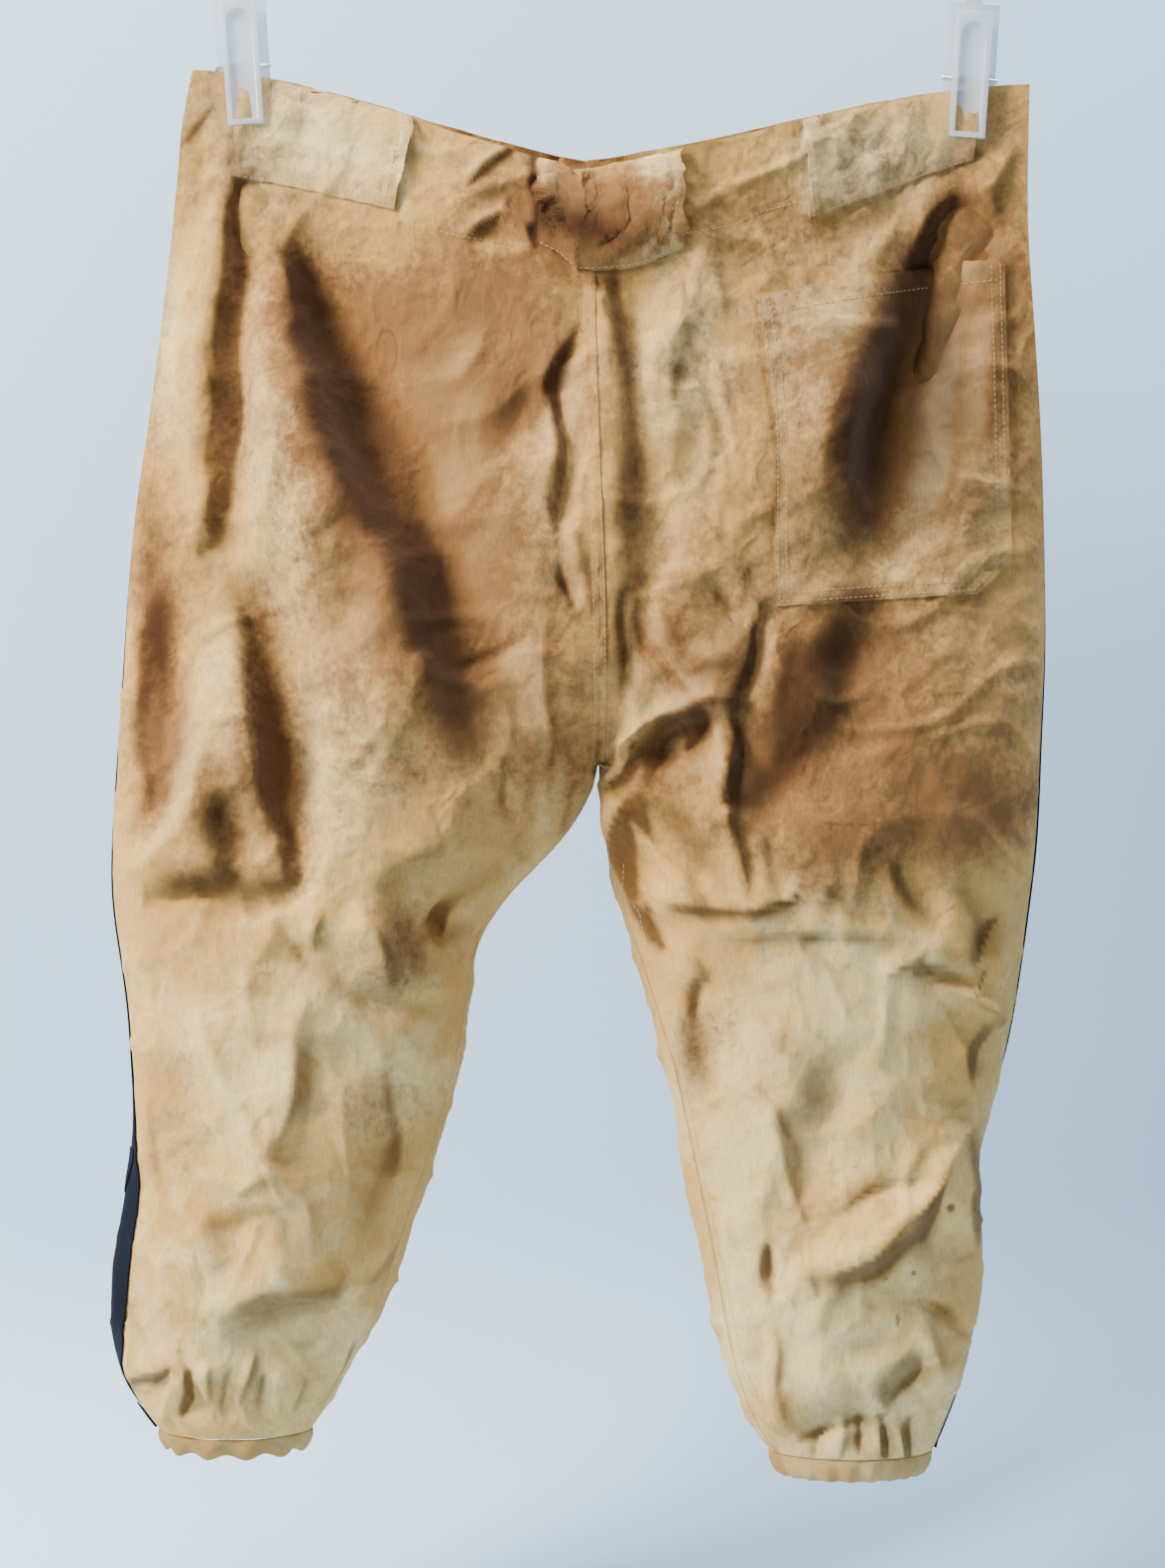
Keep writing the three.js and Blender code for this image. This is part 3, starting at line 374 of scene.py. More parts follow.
# Broad slopes: the route down the middle of the slope, its half width, and how far it
# falls towards the left of the route
BACK_SLOPES = [
    # left seat and thigh
    ([(-204, -200), (-208, -260), (-210, -319), (-213, -370), (-218, -420)], 9, 7.0),
    ([(-190, -220), (-172, -281), (-154, -323), (-135, -364), (-117, -400), (-92, -465)], 19, 13.0),
    ([(-112, -400), (-98, -450), (-84, -500), (-74, -540)], 16, 8.0),
    ([(-201, -424), (-193, -463), (-187, -499), (-181, -540), (-174, -577), (-169, -608)], 11, 9.0),
    ([(-246, -430), (-249, -479), (-250, -520), (-252, -550), (-260, -584)], 9, 5.0),
    ([(-258, -599), (-215, -602), (-164, -602)], 8, -4.0),
    ([(-224, -540), (-213, -572), (-208, -602)], 8, 4.0),
    ([(-124, -598), (-112, -630), (-100, -658)], 13, 4.0),
    ([(-150, -625), (-132, -648), (-104, -662)], 9, -3.0),
    ([(-40, -300), (-52, -330), (-68, -360)], 9, 2.4),
    # left lower leg
    ([(-254, -690), (-242, -730), (-230, -766)], 12, 3.0),
    ([(-168, -684), (-160, -712), (-156, -746)], 18, 3.0),
    ([(-220, -848), (-184, -836), (-138, -828)], 11, -4.0),
    ([(-228, -786), (-213, -806), (-216, -828)], 8, 3.0),
    ([(-128, -700), (-130, -750), (-146, -800)], 14, 3.0),
    # right seat
    ([(4, -258), (12, -312), (17, -357), (14, -424), (16, -470)], 9, 4.4),
    ([(196, -208), (190, -236), (182, -264)], 9, 5.0),
    ([(182, -232), (167, -280), (156, -312), (148, -346), (144, -390), (138, -430)], 16, 10.0),
    ([(142, -420), (128, -462), (114, -491), (102, -514), (86, -540), (72, -566)], 16, 8.0),
    ([(36, -300), (44, -340), (40, -390)], 10, 2.4),
    # crotch and right thigh
    ([(8, -552), (13, -586), (22, -618)], 7, 6.0),
    ([(28, -504), (30, -520), (26, -538)], 7, 5.0),
    ([(52, -500), (50, -516), (46, -530)], 6, 4.0),
    ([(190, -600), (204, -620), (214, -650)], 9, 4.0),
    ([(170, -560), (150, -600), (140, -640)], 18, 2.6),
    # right lower leg
    ([(38, -660), (48, -690), (58, -720)], 9, 4.0),
    ([(126, -676), (110, -704), (96, -730)], 16, 3.4),
    ([(120, -700), (106, -740), (108, -780)], 12, 3.0),
    ([(196, -742), (206, -770), (210, -800)], 8, 4.0),
    ([(112, -828), (140, -820), (170, -798), (186, -772)], 9, -4.0),
    ([(176, -860), (164, -880), (150, -892)], 9, 4.0),
    ([(100, -880), (130, -888), (156, -886)], 10, -3.4),
]
FRONT_SLOPES = [
    ([(-170, -260), (-140, -340), (-110, -420), (-80, -490)], 18, -7.0),
    ([(170, -260), (146, -340), (118, -420), (84, -490)], 18, 8.0),
    ([(-200, -440), (-190, -520), (-180, -600)], 13, -6.0),
    ([(200, -460), (196, -540), (190, -610)], 13, 6.0),
    ([(-240, -640), (-180, -650), (-130, -640)], 10, -4.0),
    ([(60, -650), (120, -660), (190, -650)], 10, -4.0),
    ([(-220, -720), (-190, -780), (-180, -840)], 14, 4.0),
    ([(110, -730), (130, -790), (140, -850)], 14, -4.0),
]

# How far the heights and falls above are built, how round a crest is, and how far and
# over what length the routes stray from their lines
CREASE_DEPTH = 1.3
SLOPE_DEPTH = 1.3
CREST = 1.4
STRAY = 2.4
STRAY_LENGTH = 52

# How strongly the colour is painted: brown for each millimetre that a slope falls, as dirt
# and as painted shade, dirt over the upper part, and painted shade and highlight on the
# folds and along the dark and pale lines
SLOPE_STAIN_AND_SHADE = 0.03
UPPER_STAIN = 0.32
SHADE_PAINT = 0.95
LINE_SHADE_AND_LIGHT = 0.8

# The way to the window from the cloth, in x, towards the camera and up, and the way
# across the cloth into the shade
WINDOW = (-0.79, 0.36, 0.49)
LEE = (0.85, -0.53)

# Painted shade along gaps and under rolled edges of the back, and painted highlight on
# pressed edges: the route, the width on the window's side and on the other, and the
# strength, above 0 for shade and below 0 for highlight
BACK_SHADE_AND_LIGHT_LINES = [
    # waist
    ([(-203, -180), (-206, -194), (-209, -208)], 4, 4, 0.8),
    ([(-209, -209), (-160, -222), (-119, -233)], 2.5, 4, 0.4),
    ([(-105, -178), (-112, -205), (-118, -232)], 2, 6, 0.5),
    ([(-43, -202), (-37, -220), (-41, -244), (-45, -252)], 3, 3, 0.9),
    ([(40, -226), (42, -212), (41, -200)], 3, 4, 0.8),
    ([(-34, -261), (-14, -264), (9, -267), (30, -265), (44, -256)], 2.5, 5, 0.6),
    ([(106, -180), (109, -208), (111, -236)], 3, 2.5, 0.5),
    ([(205, -190), (204, -198), (203, -206)], 3, 4, 0.8),
    ([(190, -221), (180, -240), (168, -262)], 8, 15, 0.8),
    ([(203, -203), (180, -215), (160, -222)], 2.5, 8, 0.6),
    ([(-84, -262), (-60, -246), (-44, -236)], 3, 6, 0.3),
    # pocket and centre seam
    ([(83, -296), (89, -329), (93, -354), (95, -375), (91, -408), (90, -440)], 2.6, 2.6, 0.8),
    ([(225, -250), (226, -330), (226, -421)], 2.6, 2.6, 0.8),
    ([(224, -423), (205, -440), (169, -440), (132, -440), (112, -446), (95, -450)], 2.5, 4, 0.5),
    ([(82, -272), (127, -267), (164, -261)], 3, 2.5, 0.5),
    ([(-12.5, -266), (-9, -339), (-5, -384), (-4, -439), (-5, -494), (-3, -512)], 2.6, 2, 0.8),
    # left seat and thigh
    ([(-207, -200), (-213, -260), (-215, -319), (-217, -370), (-220, -425)], 7, 22, 0.75),
    ([(-192, -225), (-166, -323), (-137, -395), (-109, -450), (-86, -520)], 12, 44, 0.55),
    ([(-41, -334), (-32, -318), (-21, -300)], 3, 5, 0.6),
    ([(-28, -420), (-24, -434), (-19, -448)], 3, 3, 0.6),
    ([(-32, -326), (-31, -370), (-30, -420), (-20, -447)], 3, 2.5, -0.6),
    ([(-235, -187), (-243, -275), (-250, -340), (-253, -370)], 7, 7, -0.45),
    ([(-254, -365), (-255, -430), (-257, -505)], 12, 12, 0.85),
    ([(-45, -212), (-24, -232), (4, -240), (22, -246)], 15, 13, 1.3),
    ([(98, -275), (104, -340), (108, -425)], 28, 28, 0.65),
    ([(4, -538), (40, -570), (70, -606)], 24, 24, 1.1),
    ([(176, -450), (140, -515), (100, -575)], 28, 30, 0.75),
    ([(-222, -508), (-226, -522), (-232, -548), (-238, -569), (-256, -589), (-270, -595)], 5, 3, -0.5),
    ([(-250, -598), (-215, -602), (-166, -603)], 16, 3, 0.6),
    ([(-176, -560), (-172, -582), (-168, -604)], 8, 5, 0.6),
    ([(-98, -612), (-90, -621), (-82, -634)], 3, 6, 0.8),
    ([(-120, -666), (-100, -668), (-80, -664)], 4, 6, 0.4),
    ([(-233, -664), (-211, -711), (-189, -755), (-168, -780), (-163, -808)], 5, 3, -0.5),
    ([(-167, -660), (-176, -710), (-185, -753)], 4, 3, -0.45),
    # right seat
    ([(18, -440), (22, -470), (38, -488), (50, -498)], 3, 4, 0.5),
    ([(84, -438), (80, -470), (76, -505), (70, -552), (66, -575)], 3, 9, 1.1),
    # crotch
    ([(-12, -548), (8, -534), (18, -519), (24, -507), (44, -501), (64, -496)], 4, 3, -0.6),
    ([(0, -540), (7, -531), (12, -522), (12, -512)], 3, 4, 1.1),
    ([(14, -538), (26, -524), (42, -513), (62, -505)], 5, 11, 0.9),
    ([(16, -542), (28, -540), (44, -536)], 8, 8, 0.7),
    ([(42, -532), (50, -518), (62, -508)], 4, 5, 0.9),
    ([(-10, -540), (12, -565), (36, -593), (50, -610)], 3, 3, -0.5),
    ([(60, -500), (64, -536), (70, -568), (76, -608)], 3, 3, -0.6),
    ([(6, -552), (11, -580), (12, -608), (24, -636)], 3, 6, 0.8),
    ([(24, -609), (48, -615), (80, -617), (104, -608), (116, -594)], 2.5, 7, 0.8),
    ([(68, -564), (98, -586), (122, -604), (138, -622)], 2.5, 5, 0.5),
    # right thigh and leg
    ([(12, -612), (28, -632), (45, -646)], 3, 5, 0.6),
    ([(54, -650), (50, -664), (46, -680)], 3, 5, 0.5),
    ([(61, -628), (114, -624), (144, -625), (169, -634)], 4, 3, -0.5),
    ([(64, -632), (114, -629), (150, -630)], 2.5, 5, 0.4),
    ([(161, -575), (175, -611), (195, -640)], 3, 6, 0.5),
    ([(168, -648), (186, -650), (206, -654)], 2.5, 5, 0.9),
    ([(181, -655), (200, -664), (221, -677)], 4, 3, -0.6),
    ([(226, -560), (224, -601), (221, -677)], 4, 3, -0.6),
    ([(219, -616), (213, -640), (206, -660)], 3, 6, 0.5),
    ([(110, -815), (128, -813), (149, -804), (168, -788), (185, -762), (211, -728)], 7, 3, -0.5),
    ([(110, -821), (128, -821), (150, -812), (171, -796), (189, -768)], 2.5, 10, 0.6),
    ([(174, -829), (190, -839), (206, -853)], 2.5, 5, 0.9),
    ([(88, -798), (92, -816), (98, -830)], 2.5, 4, 0.7),
    ([(180, -862), (168, -878), (156, -893)], 3, 5, 1.0),
    ([(63, -693), (90, -726), (101, -748), (103, -774), (110, -792)], 3, 2.5, -0.5),
    ([(67, -692), (94, -726), (106, -748), (108, -774)], 2.5, 6, 0.4),
    ([(6, -505), (3, -540), (4, -553), (13, -574), (25, -597)], 2.5, 2.5, 0.4),
    ([(25, -657), (35, -686), (46, -744), (60, -811), (71, -866), (80, -886)], 2.6, 2.2, 0.6),
    ([(105, -908), (132, -900), (160, -893)], 3, 5, 0.9),
    ([(139, -898), (139, -908), (140, -922)], 2.5, 4, 0.7),
    ([(154, -896), (154, -908), (155, -922)], 2.5, 4, 0.9),
    ([(170, -896), (170, -907), (171, -920)], 2.5, 4, 0.7),
    # lower left leg
    ([(-216, -850), (-186, -840), (-140, -833)], 4, 9, 0.4),
    ([(-264, -880), (-252, -881), (-242, -871)], 2.5, 4, 0.8),
    ([(-233, -866), (-231, -884), (-236, -900)], 3, 4, 0.7),
    ([(-208, -868), (-207, -884), (-210, -900)], 2.5, 4, 0.5),
    ([(-190, -872), (-190, -886), (-190, -900)], 2.5, 4, 0.5),
    ([(-128, -690), (-118, -740), (-138, -800), (-160, -850)], 4, 12, 0.4),
]

# The front, which the photo hides, has folds of the same kinds
FRONT_CREASES = [
    ([(-200, -205), (-190, -260), (-170, -330)], 8, -3.4, 1.4),
    ([(-180, -220), (-160, -300), (-130, -380)], 9, 3.0, 1.5),
    ([(198, -210), (186, -270), (168, -340)], 8, -3.6, 1.4),
    ([(176, -226), (160, -290), (132, -370)], 9, 3.2, 1.5),
    ([(-120, -400), (-84, -460), (-40, -510)], 8, -3.0, 1.4),
    ([(110, -400), (76, -462), (36, -508)], 8, -3.2, 1.4),
    ([(-60, -500), (-30, -524), (-8, -534)], 5, -4.0, 1.2),
    ([(56, -496), (30, -520), (4, -532)], 5, -4.0, 1.2),
    ([(-66, -516), (-40, -536), (-14, -546)], 5, 3.0, 1.3),
    ([(60, -512), (36, -534), (12, -546)], 5, 3.0, 1.3),
    ([(-110, -580), (-76, -600), (-60, -610)], 5, -3.4, 1.2),
    ([(30, -590), (70, -606), (110, -604)], 5, 3.0, 1.3),
    ([(-240, -470), (-226, -540), (-220, -600)], 8, 3.0, 1.4),
    ([(-240, -700), (-200, -724), (-150, -760)], 7, 3.0, 1.4),
    ([(-230, -780), (-190, -800), (-150, -804)], 6, -3.0, 1.3),
    ([(-240, -850), (-200, -842), (-160, -850)], 6, 3.0, 1.3),
    ([(60, -690), (110, -716), (180, -720)], 7, -3.0, 1.4),
    ([(80, -770), (130, -790), (186, -776)], 7, 3.0, 1.4),
    ([(90, -850), (130, -842), (180, -852)], 6, -3.0, 1.3),
    ([(130, -450), (140, -520), (150, -580)], 9, 2.6, 1.5),
    ([(-160, -480), (-150, -540), (-156, -590)], 9, -2.6, 1.5),
]
FRONT_STEPS = [
    ([(-250, -622), (-190, -632), (-120, -630)], 18, 4, -5.0),
    ([(40, -640), (110, -650), (200, -640)], 16, 4, -5.0),
    ([(-60, -560), (-110, -610), (-180, -640)], 5, 12, 4.0),
]


def measured(route):
    """The points of a route, the lengths between them, and how far along each is."""
    points = np.array(route, float)
    lengths = np.hypot(*(points[1:] - points[:-1]).T)
    return points, lengths, np.concatenate(([0], np.cumsum(lengths)))


def route_field(x, z, route):
    """Distance from a route in x and z, the share along it, the side, where 1 is to its
    left and -1 to its right, and 1 on the side away from the window, -1 on the other."""
    points, lengths, reach = measured(route)
    nearest = np.full_like(x, np.inf)
    along = np.zeros_like(x)
    side = np.ones_like(x)
    lee = np.ones_like(x)
    for i, length in enumerate(lengths):
        heading = (points[i + 1] - points[i]) / length
        dx = x - points[i, 0]
        dz = z - points[i, 1]
        run = np.clip(dx * heading[0] + dz * heading[1], 0, length)
        off_x = dx - run * heading[0]
        off_z = dz - run * heading[1]
        distance = np.hypot(off_x, off_z)
        closer = distance < nearest
        nearest = np.where(closer, distance, nearest)
        along = np.where(closer, (reach[i] + run) / reach[-1], along)
        turn = heading[0] * dz - heading[1] * dx
        side = np.where(closer, np.where(turn >= 0, 1, -1), side)
        away = off_x * LEE[0] + off_z * LEE[1]
        lee = np.where(closer, np.where(away >= 0, 1, -1), lee)
    return nearest, along, side, lee


def rounded(distance):
    """Distance from a crest that is rounded, so that the mesh can follow it."""
    return np.hypot(distance, CREST) - CREST


def crease_height(x, z, creases, steps, slopes):
    """The height of all the creases at x and z, in millimetres. A crease swells towards
    its middle, and its side in the shade is the steeper."""
    bent_x = x + STRAY * wander(x, z, STRAY_LENGTH, 11)
    bent_z = z + STRAY * wander(x, z, STRAY_LENGTH, 12)
    total = np.zeros_like(x)
    for route, width, height, roundness in creases:
        distance, along, _, lee = route_field(bent_x, bent_z, route)
        swell = np.sin(math.pi * along)
        steep = lee > 0 if height > 0 else lee < 0
        reach = width * (0.6 + 0.6 * swell) * np.where(steep, 0.75, 1.6)
        total += CREASE_DEPTH * height * swell**0.8 * np.exp(-((rounded(distance) / reach) ** roundness))
    for route, left, right, height in steps:
        distance, along, side, _ = route_field(bent_x, bent_z, route)
        swell = np.sin(math.pi * along)
        width = np.where(side > 0, left, right) * (0.7 + 0.4 * swell)
        total += height * swell**0.7 * np.exp(-((rounded(distance) / width) ** 1.25))
    for route, width, fall in slopes:
        distance, along, side, _ = route_field(bent_x, bent_z, route)
        swell = np.sin(math.pi * along)
        share = distance / (width * (0.75 + 0.75 * swell))
        total -= SLOPE_DEPTH * fall * swell * side * share * np.exp(0.5 - share**2 / 2)
    return total


CREASES = {
    BACK: (BACK_CREASES, BACK_STEPS, BACK_SLOPES),
    FRONT: (FRONT_CREASES, FRONT_STEPS, FRONT_SLOPES),
}


# Panels

def copy_of(node, name):
    """A merged copy of a CAD node, with a mesh of its own."""
    take(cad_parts[node])
    bpy.ops.object.duplicate()
    piece = named(name)
    piece.parent = None
    for key in list(piece.keys()):
        del piece[key]
    piece.data.materials.clear()
    edit(piece)
    bpy.ops.mesh.remove_doubles(threshold=0.02 * MM)
    leave_edit()
    return piece


def keep_outer_side(piece, facing):
    """Deletes the inner side and the rim of a wall, and joins its triangles in pairs."""
    mesh = piece.data
    points = coordinates(piece) / MM
    for vertex in mesh.vertices:
        vertex.select = False
    for edge in mesh.edges:
        edge.select = False
    for polygon in mesh.polygons:
        corners = points[list(polygon.vertices)]
        sides = np.linalg.norm(corners - np.roll(corners, 1, axis=0), axis=1)
        middle = corners.mean(axis=0)
        level = points[np.abs(points[:, 2] - middle[2]) < BAND]
        axis = (level[:, 0].min() + level[:, 0].max()) / 2
        normal = polygon.normal
        if middle[2] < HIP:
            outer = (middle[0] - axis) * normal.x + middle[1] * normal.y > 0
        elif abs(normal.y) > FLAT_FACE:
            outer = normal.y * facing > 0
        else:
            outer = (middle[0] - axis) * normal.x > 0
        polygon.select = bool(sides.min() < RIM_EDGE or not outer)
    take(piece)
    bpy.ops.object.mode_set(mode="EDIT")
    bpy.ops.mesh.select_mode(type="FACE")
    bpy.ops.mesh.delete(type="FACE")
    bpy.ops.mesh.select_all(action="SELECT")
    bpy.ops.mesh.tris_convert_to_quads(face_threshold=math.radians(80), shape_threshold=math.radians(180))
    leave_edit()


def lay_out(piece):
    """Unwraps a sheet to a map in metres, with the cloth's height up the map."""
    edit(piece)
    bpy.ops.uv.unwrap(method="ANGLE_BASED", margin=0)
    leave_edit()
    mesh = piece.data
    cloth_map = mesh.uv_layers.active.data
    flat = np.empty(len(cloth_map) * 2)
    cloth_map.foreach_get("uv", flat)
    flat = flat.reshape(-1, 2)
    corner = np.empty(len(mesh.loops), int)
    mesh.loops.foreach_get("vertex_index", corner)
    points = coordinates(piece)[corner]
    real = (points[:, 0] - points[:, 0].mean()) + 1j * (points[:, 2] - points[:, 2].mean())
    mapped = (flat[:, 0] - flat[:, 0].mean()) + 1j * (flat[:, 1] - flat[:, 1].mean())
    fits = []
    for candidate in (mapped, np.conj(mapped)):
        turn = (real * np.conj(candidate)).sum() / (abs(candidate) ** 2).sum()
        fits.append((abs(turn), candidate * turn))
    laid = max(fits, key=lambda fit: fit[0])[1]
    cloth_map.foreach_set("uv", np.column_stack((laid.real, laid.imag)).ravel())


def rim_points(piece):
    """The corners on the open edges of a sheet."""
    mesh = piece.data
    uses = {}
    for polygon in mesh.polygons:
        for key in polygon.edge_keys:
            uses[key] = uses.get(key, 0) + 1
    return {vertex for key, count in uses.items() if count == 1 for vertex in key}


def seam_fade(piece):
    """1 inside a panel, and 0 where it meets its neighbours or a clip holds it."""
    points = coordinates(piece) / MM
    kept = []
    for index in rim_points(piece):
        x, _, z = points[index]
        on_centre_seam = z > SEAM_END and abs(x) < SEAM_HALF
        on_waist = z > WAIST_LOW and abs(x) < WAIST_HALF
        if not on_centre_seam and not on_waist:
            kept.append(points[index])
    tree = KDTree(len(kept))
    for i, point in enumerate(kept):
        tree.insert(point, i)
    tree.balance()
    distance = np.array([tree.find(point)[2] for point in points])
    fade = ease(distance, 1, SEAM_FADE)
    for x, z in CLIP_PLACES:
        fade *= ease(np.hypot(points[:, 0] - x, points[:, 2] - z), CLIP_REACH * 0.6, CLIP_REACH)
    return fade


def refine(piece):
    """Divides a sheet finely and rounds it, with its corners kept."""
    modify(
        piece, "SUBSURF", levels=PANEL_LEVELS, render_levels=PANEL_LEVELS,
        boundary_smooth="PRESERVE_CORNERS"
    )


def make_panel(node, name, facing):
    """A panel of thin cloth on its solid's form, with its creases."""
    piece = copy_of(node, name)
    keep_outer_side(piece, facing)
    lay_out(piece)
    refine(piece)
    points = coordinates(piece)
    x, z = seen(points / MM)
    height = crease_height(x, z, *CREASES[facing])
    for wrinkle, depth, length, seed in WRINKLES:
        height += depth * wrinkle(x, z, length, seed)
    height *= seam_fade(piece)
    place(piece, points + normals(piece) * height[:, None] * MM)
    return piece


def surface_of(pieces):
    """A tree of the faces of several pieces."""
    points = []
    faces = []
    for piece in pieces:
        start = len(points)
        points.extend(vertex.co.copy() for vertex in piece.data.vertices)
        faces.extend([start + v for v in polygon.vertices] for polygon in piece.data.polygons)
    return BVHTree.FromPolygons(points, faces)


def on_surface(tree, x, z, facing):
    """The point of a surface at x and z, and its outward direction. On the back, x and
    z are where the camera sees the point."""
    target = Vector((x * MM, 0, z * MM))
    if facing == BACK:
        start = Vector((VIEW_X * MM, -VIEW_DISTANCE * MM, VIEW_Z * MM))
    else:
        start = target + Vector((0, 0.4, 0))
    spot, normal, _, _ = tree.ray_cast(start, target - start)
    if spot is None:
        spot, normal, _, _ = tree.find_nearest(target + Vector((0, facing * 30 * MM, 0)))
    if normal.y * facing < 0:
        normal = -normal
    return spot, normal


def thicken(piece, thickness, degrees=60):
    """Gives a sheet its thickness, inward."""
    modify(piece, "SOLIDIFY", thickness=thickness * MM, offset=-1)
    smooth_shade(piece, degrees)


# Layers sewn to the panels

def make_layer(name, tree, facing, cells, outline, lift):
    """A layer shaped from a flat grid and laid on a surface. outline turns the two
    shares, across and down, into x and z, and lift gives the height there."""
    deselect()
    bpy.ops.mesh.primitive_grid_add(x_subdivisions=cells[0], y_subdivisions=cells[1], size=1)
    piece = named(name)
    cloth_map = piece.data.uv_layers.active or piece.data.uv_layers.new(name="UVMap")
    points = coordinates(piece)
    laid = np.empty_like(points)
    flat = np.empty((len(points), 2))
    for i, (along, up, _) in enumerate(points):
        across = along + 0.5
        down = 0.5 - up
        x, z = outline(across, down)
        spot, normal = on_surface(tree, x, z, facing)
        laid[i] = spot + normal * (PATCH_CLEAR + PATCH_WALL + lift(across, down)) * MM
        flat[i] = (x * MM, z * MM)
    place(piece, laid)
    corner = np.empty(len(piece.data.loops), int)
    piece.data.loops.foreach_get("vertex_index", corner)
    cloth_map.data.foreach_set("uv", flat[corner].ravel())
    edit(piece)
    bpy.ops.mesh.normals_make_consistent(inside=False)
    leave_edit()
    if np.mean(normals(piece)[:, 1]) * facing < 0:
        edit(piece)
        bpy.ops.mesh.flip_normals()
        leave_edit()
    return piece


# Layers end this far below the waist's edge
BELOW_WAIST = 0.8


def waist_height(points, x):
    """The top of a layer at x, just under the edge of the waist that points hold."""
    near = np.abs(points[:, 0] - x) < 4
    return points[near, 1].max() - BELOW_WAIST


# The belt tunnels: the face, their ends in x at the top and at the bottom, how deep they
# hang from the waist at either end, and how far they stand off
TUNNELS = {
    "tunnel_left": (BACK, (-203, -107), (-209, -118), (57, 52), 2.6),
    "tunnel_centre": (BACK, (-36, 40), (-39, 44), (46, 54), 9),
    "tunnel_right": (BACK, (108, 206), (112, 203), (56, 40), 2.8),
    "tunnel_front_left": (FRONT, (-150, -104), (-150, -104), (52, 52), 2.6),
    "tunnel_front_right": (FRONT, (104, 150), (104, 150), (52, 52), 2.6),
}


def tunnel_outline(name, waist, across, down):
    """The x and z of a tunnel at two shares, across and down it."""
    _, top, bottom, depth, _ = TUNNELS[name]
    top_x = top[0] + (top[1] - top[0]) * across
    bottom_x = bottom[0] + (bottom[1] - bottom[0]) * across
    sag = depth[0] + (depth[1] - depth[0]) * across
    if name == "tunnel_centre":
        sag += 9 * math.sin(math.pi * across)
    z = waist_height(waist, top_x) - sag * down
    return top_x + (bottom_x - top_x) * down, z


def make_tunnel(name, tree, waist):
    facing, _, _, _, stand = TUNNELS[name]

    def outline(across, down):
        return tunnel_outline(name, waist, across, down)

    def lift(across, down):
        rise = math.sin(math.pi * min(1, down)) ** 0.7
        hem = 0.9 * (1 - ease(min(across, 1 - across), 0.05, 0.07))
        pleats = 1.1 * math.sin(23 * across + 1) * math.exp(-((down - 0.3) / 0.3) ** 2)
        return stand * rise + (hem + pleats) * rise

    return make_layer(name + "_cloth", tree, facing, (54, 30), outline, lift)


# The pocket's corners, top left, top right, bottom right and bottom left, and the two
# ends of the cut across its lower right corner
POCKET = ((81.5, -275), (220, -254), (224, -438), (93.5, -446))
POCKET_CUT = ((205, -438), (224, -421))


def pocket_outline(across, down):
    """The x and z of the pocket at two shares, across and down it."""
    corners = [np.array(corner, float) for corner in POCKET]
    top = corners[0] + (corners[1] - corners[0]) * across
    bottom = corners[3] + (corners[2] - corners[3]) * across
    x, z = top + (bottom - top) * down
    bow = 5 * math.sin(math.pi * down) + 1.5 * math.sin(2 * math.pi * down)
    return x + bow * (1 - across), z + 2 * math.sin(math.pi * across) * (1 - down)


def make_pocket(tree):
    def lift(across, down):
        mouth = max(0.0, 1 - down / 0.2)
        bar = math.exp(-((across - 0.86) / 0.09) ** 2) * math.exp(-((down - 0.02) / 0.04) ** 2)
        return 1.4 * mouth + 0.9 * mouth * math.sin(9 * across) + 2.4 * bar

    piece = make_layer("pocket_cloth", tree, BACK, (70, 84), pocket_outline, lift)
    cut = np.array(POCKET_CUT[1], float) - np.array(POCKET_CUT[0], float)
    side = Vector((cut[1], 0, -cut[0])).normalized()
    edit(piece)
    bpy.ops.mesh.bisect(
        plane_co=(POCKET_CUT[0][0] * MM, 0, POCKET_CUT[0][1] * MM), plane_no=side, clear_outer=True
    )
    leave_edit()
    return piece


FLY_LEFT = -34
FLY_WIDTH = 38
FLY_BOTTOM = -362
FLY_ROUND = 24


def make_fly(tree, waist):
    def outline(across, down):
        x = FLY_LEFT + FLY_WIDTH * across
        top = waist_height(waist, x)
        bottom = FLY_BOTTOM + FLY_ROUND * (1 - across) ** 3
        return x, top + (bottom - top) * down

    return make_layer("fly_cloth", tree, FRONT, (16, 64), outline, lambda across, down: 0.2)


# The centre seam: x and z of its middle, its top, its length and its width
SEAM_ROUTE = [(-5, -541), (-4, -500), (-4.5, -440), (-8.5, -340), (-12, -209.5)]
SEAM_TOP = -212
SEAM_LENGTH = 322
SEAM_WIDTH = 7.4


def make_seam(tree):
    """The felled centre seam, as a narrow strip over both halves."""
    places, heights = np.array(SEAM_ROUTE, float).T

    def outline(across, down):
        z = SEAM_TOP - SEAM_LENGTH * down
        return np.interp(z, heights, places) + SEAM_WIDTH * (across - 0.5), z

    def lift(across, down):
        return 0.5 * math.sin(math.pi * across) - 0.9

    return make_layer("seam_centre_cloth", tree, BACK, (8, 150), outline, lift)


# The left stripe is pulled to the back, so that the camera sees it, between the inner
# two of these heights, and this far
BRAID_SHOWN = (-880, -850, -760, -690)
BRAID_TURN = 17


def make_braid(node, name, tree):
    """The side stripe, laid on the creased panels."""
    piece = copy_of(node, name)
    keep_outer_side(piece, FRONT)
    lay_out(piece)
    refine(piece)
    laid = []
    low, full_low, full_high, high = BRAID_SHOWN
    for vertex in piece.data.vertices:
        target = vertex.co.copy()
        z = target.z / MM
        if target.x < 0:
            target.y -= BRAID_TURN * MM * ease(z, low, full_low) * (1 - ease(z, full_high, high))
        spot, normal, _, _ = tree.find_nearest(target)
        laid.append(spot + normal * BRAID_STAND * MM)
    place(piece, laid)
    thicken(piece, BRAID_WALL)
    return piece


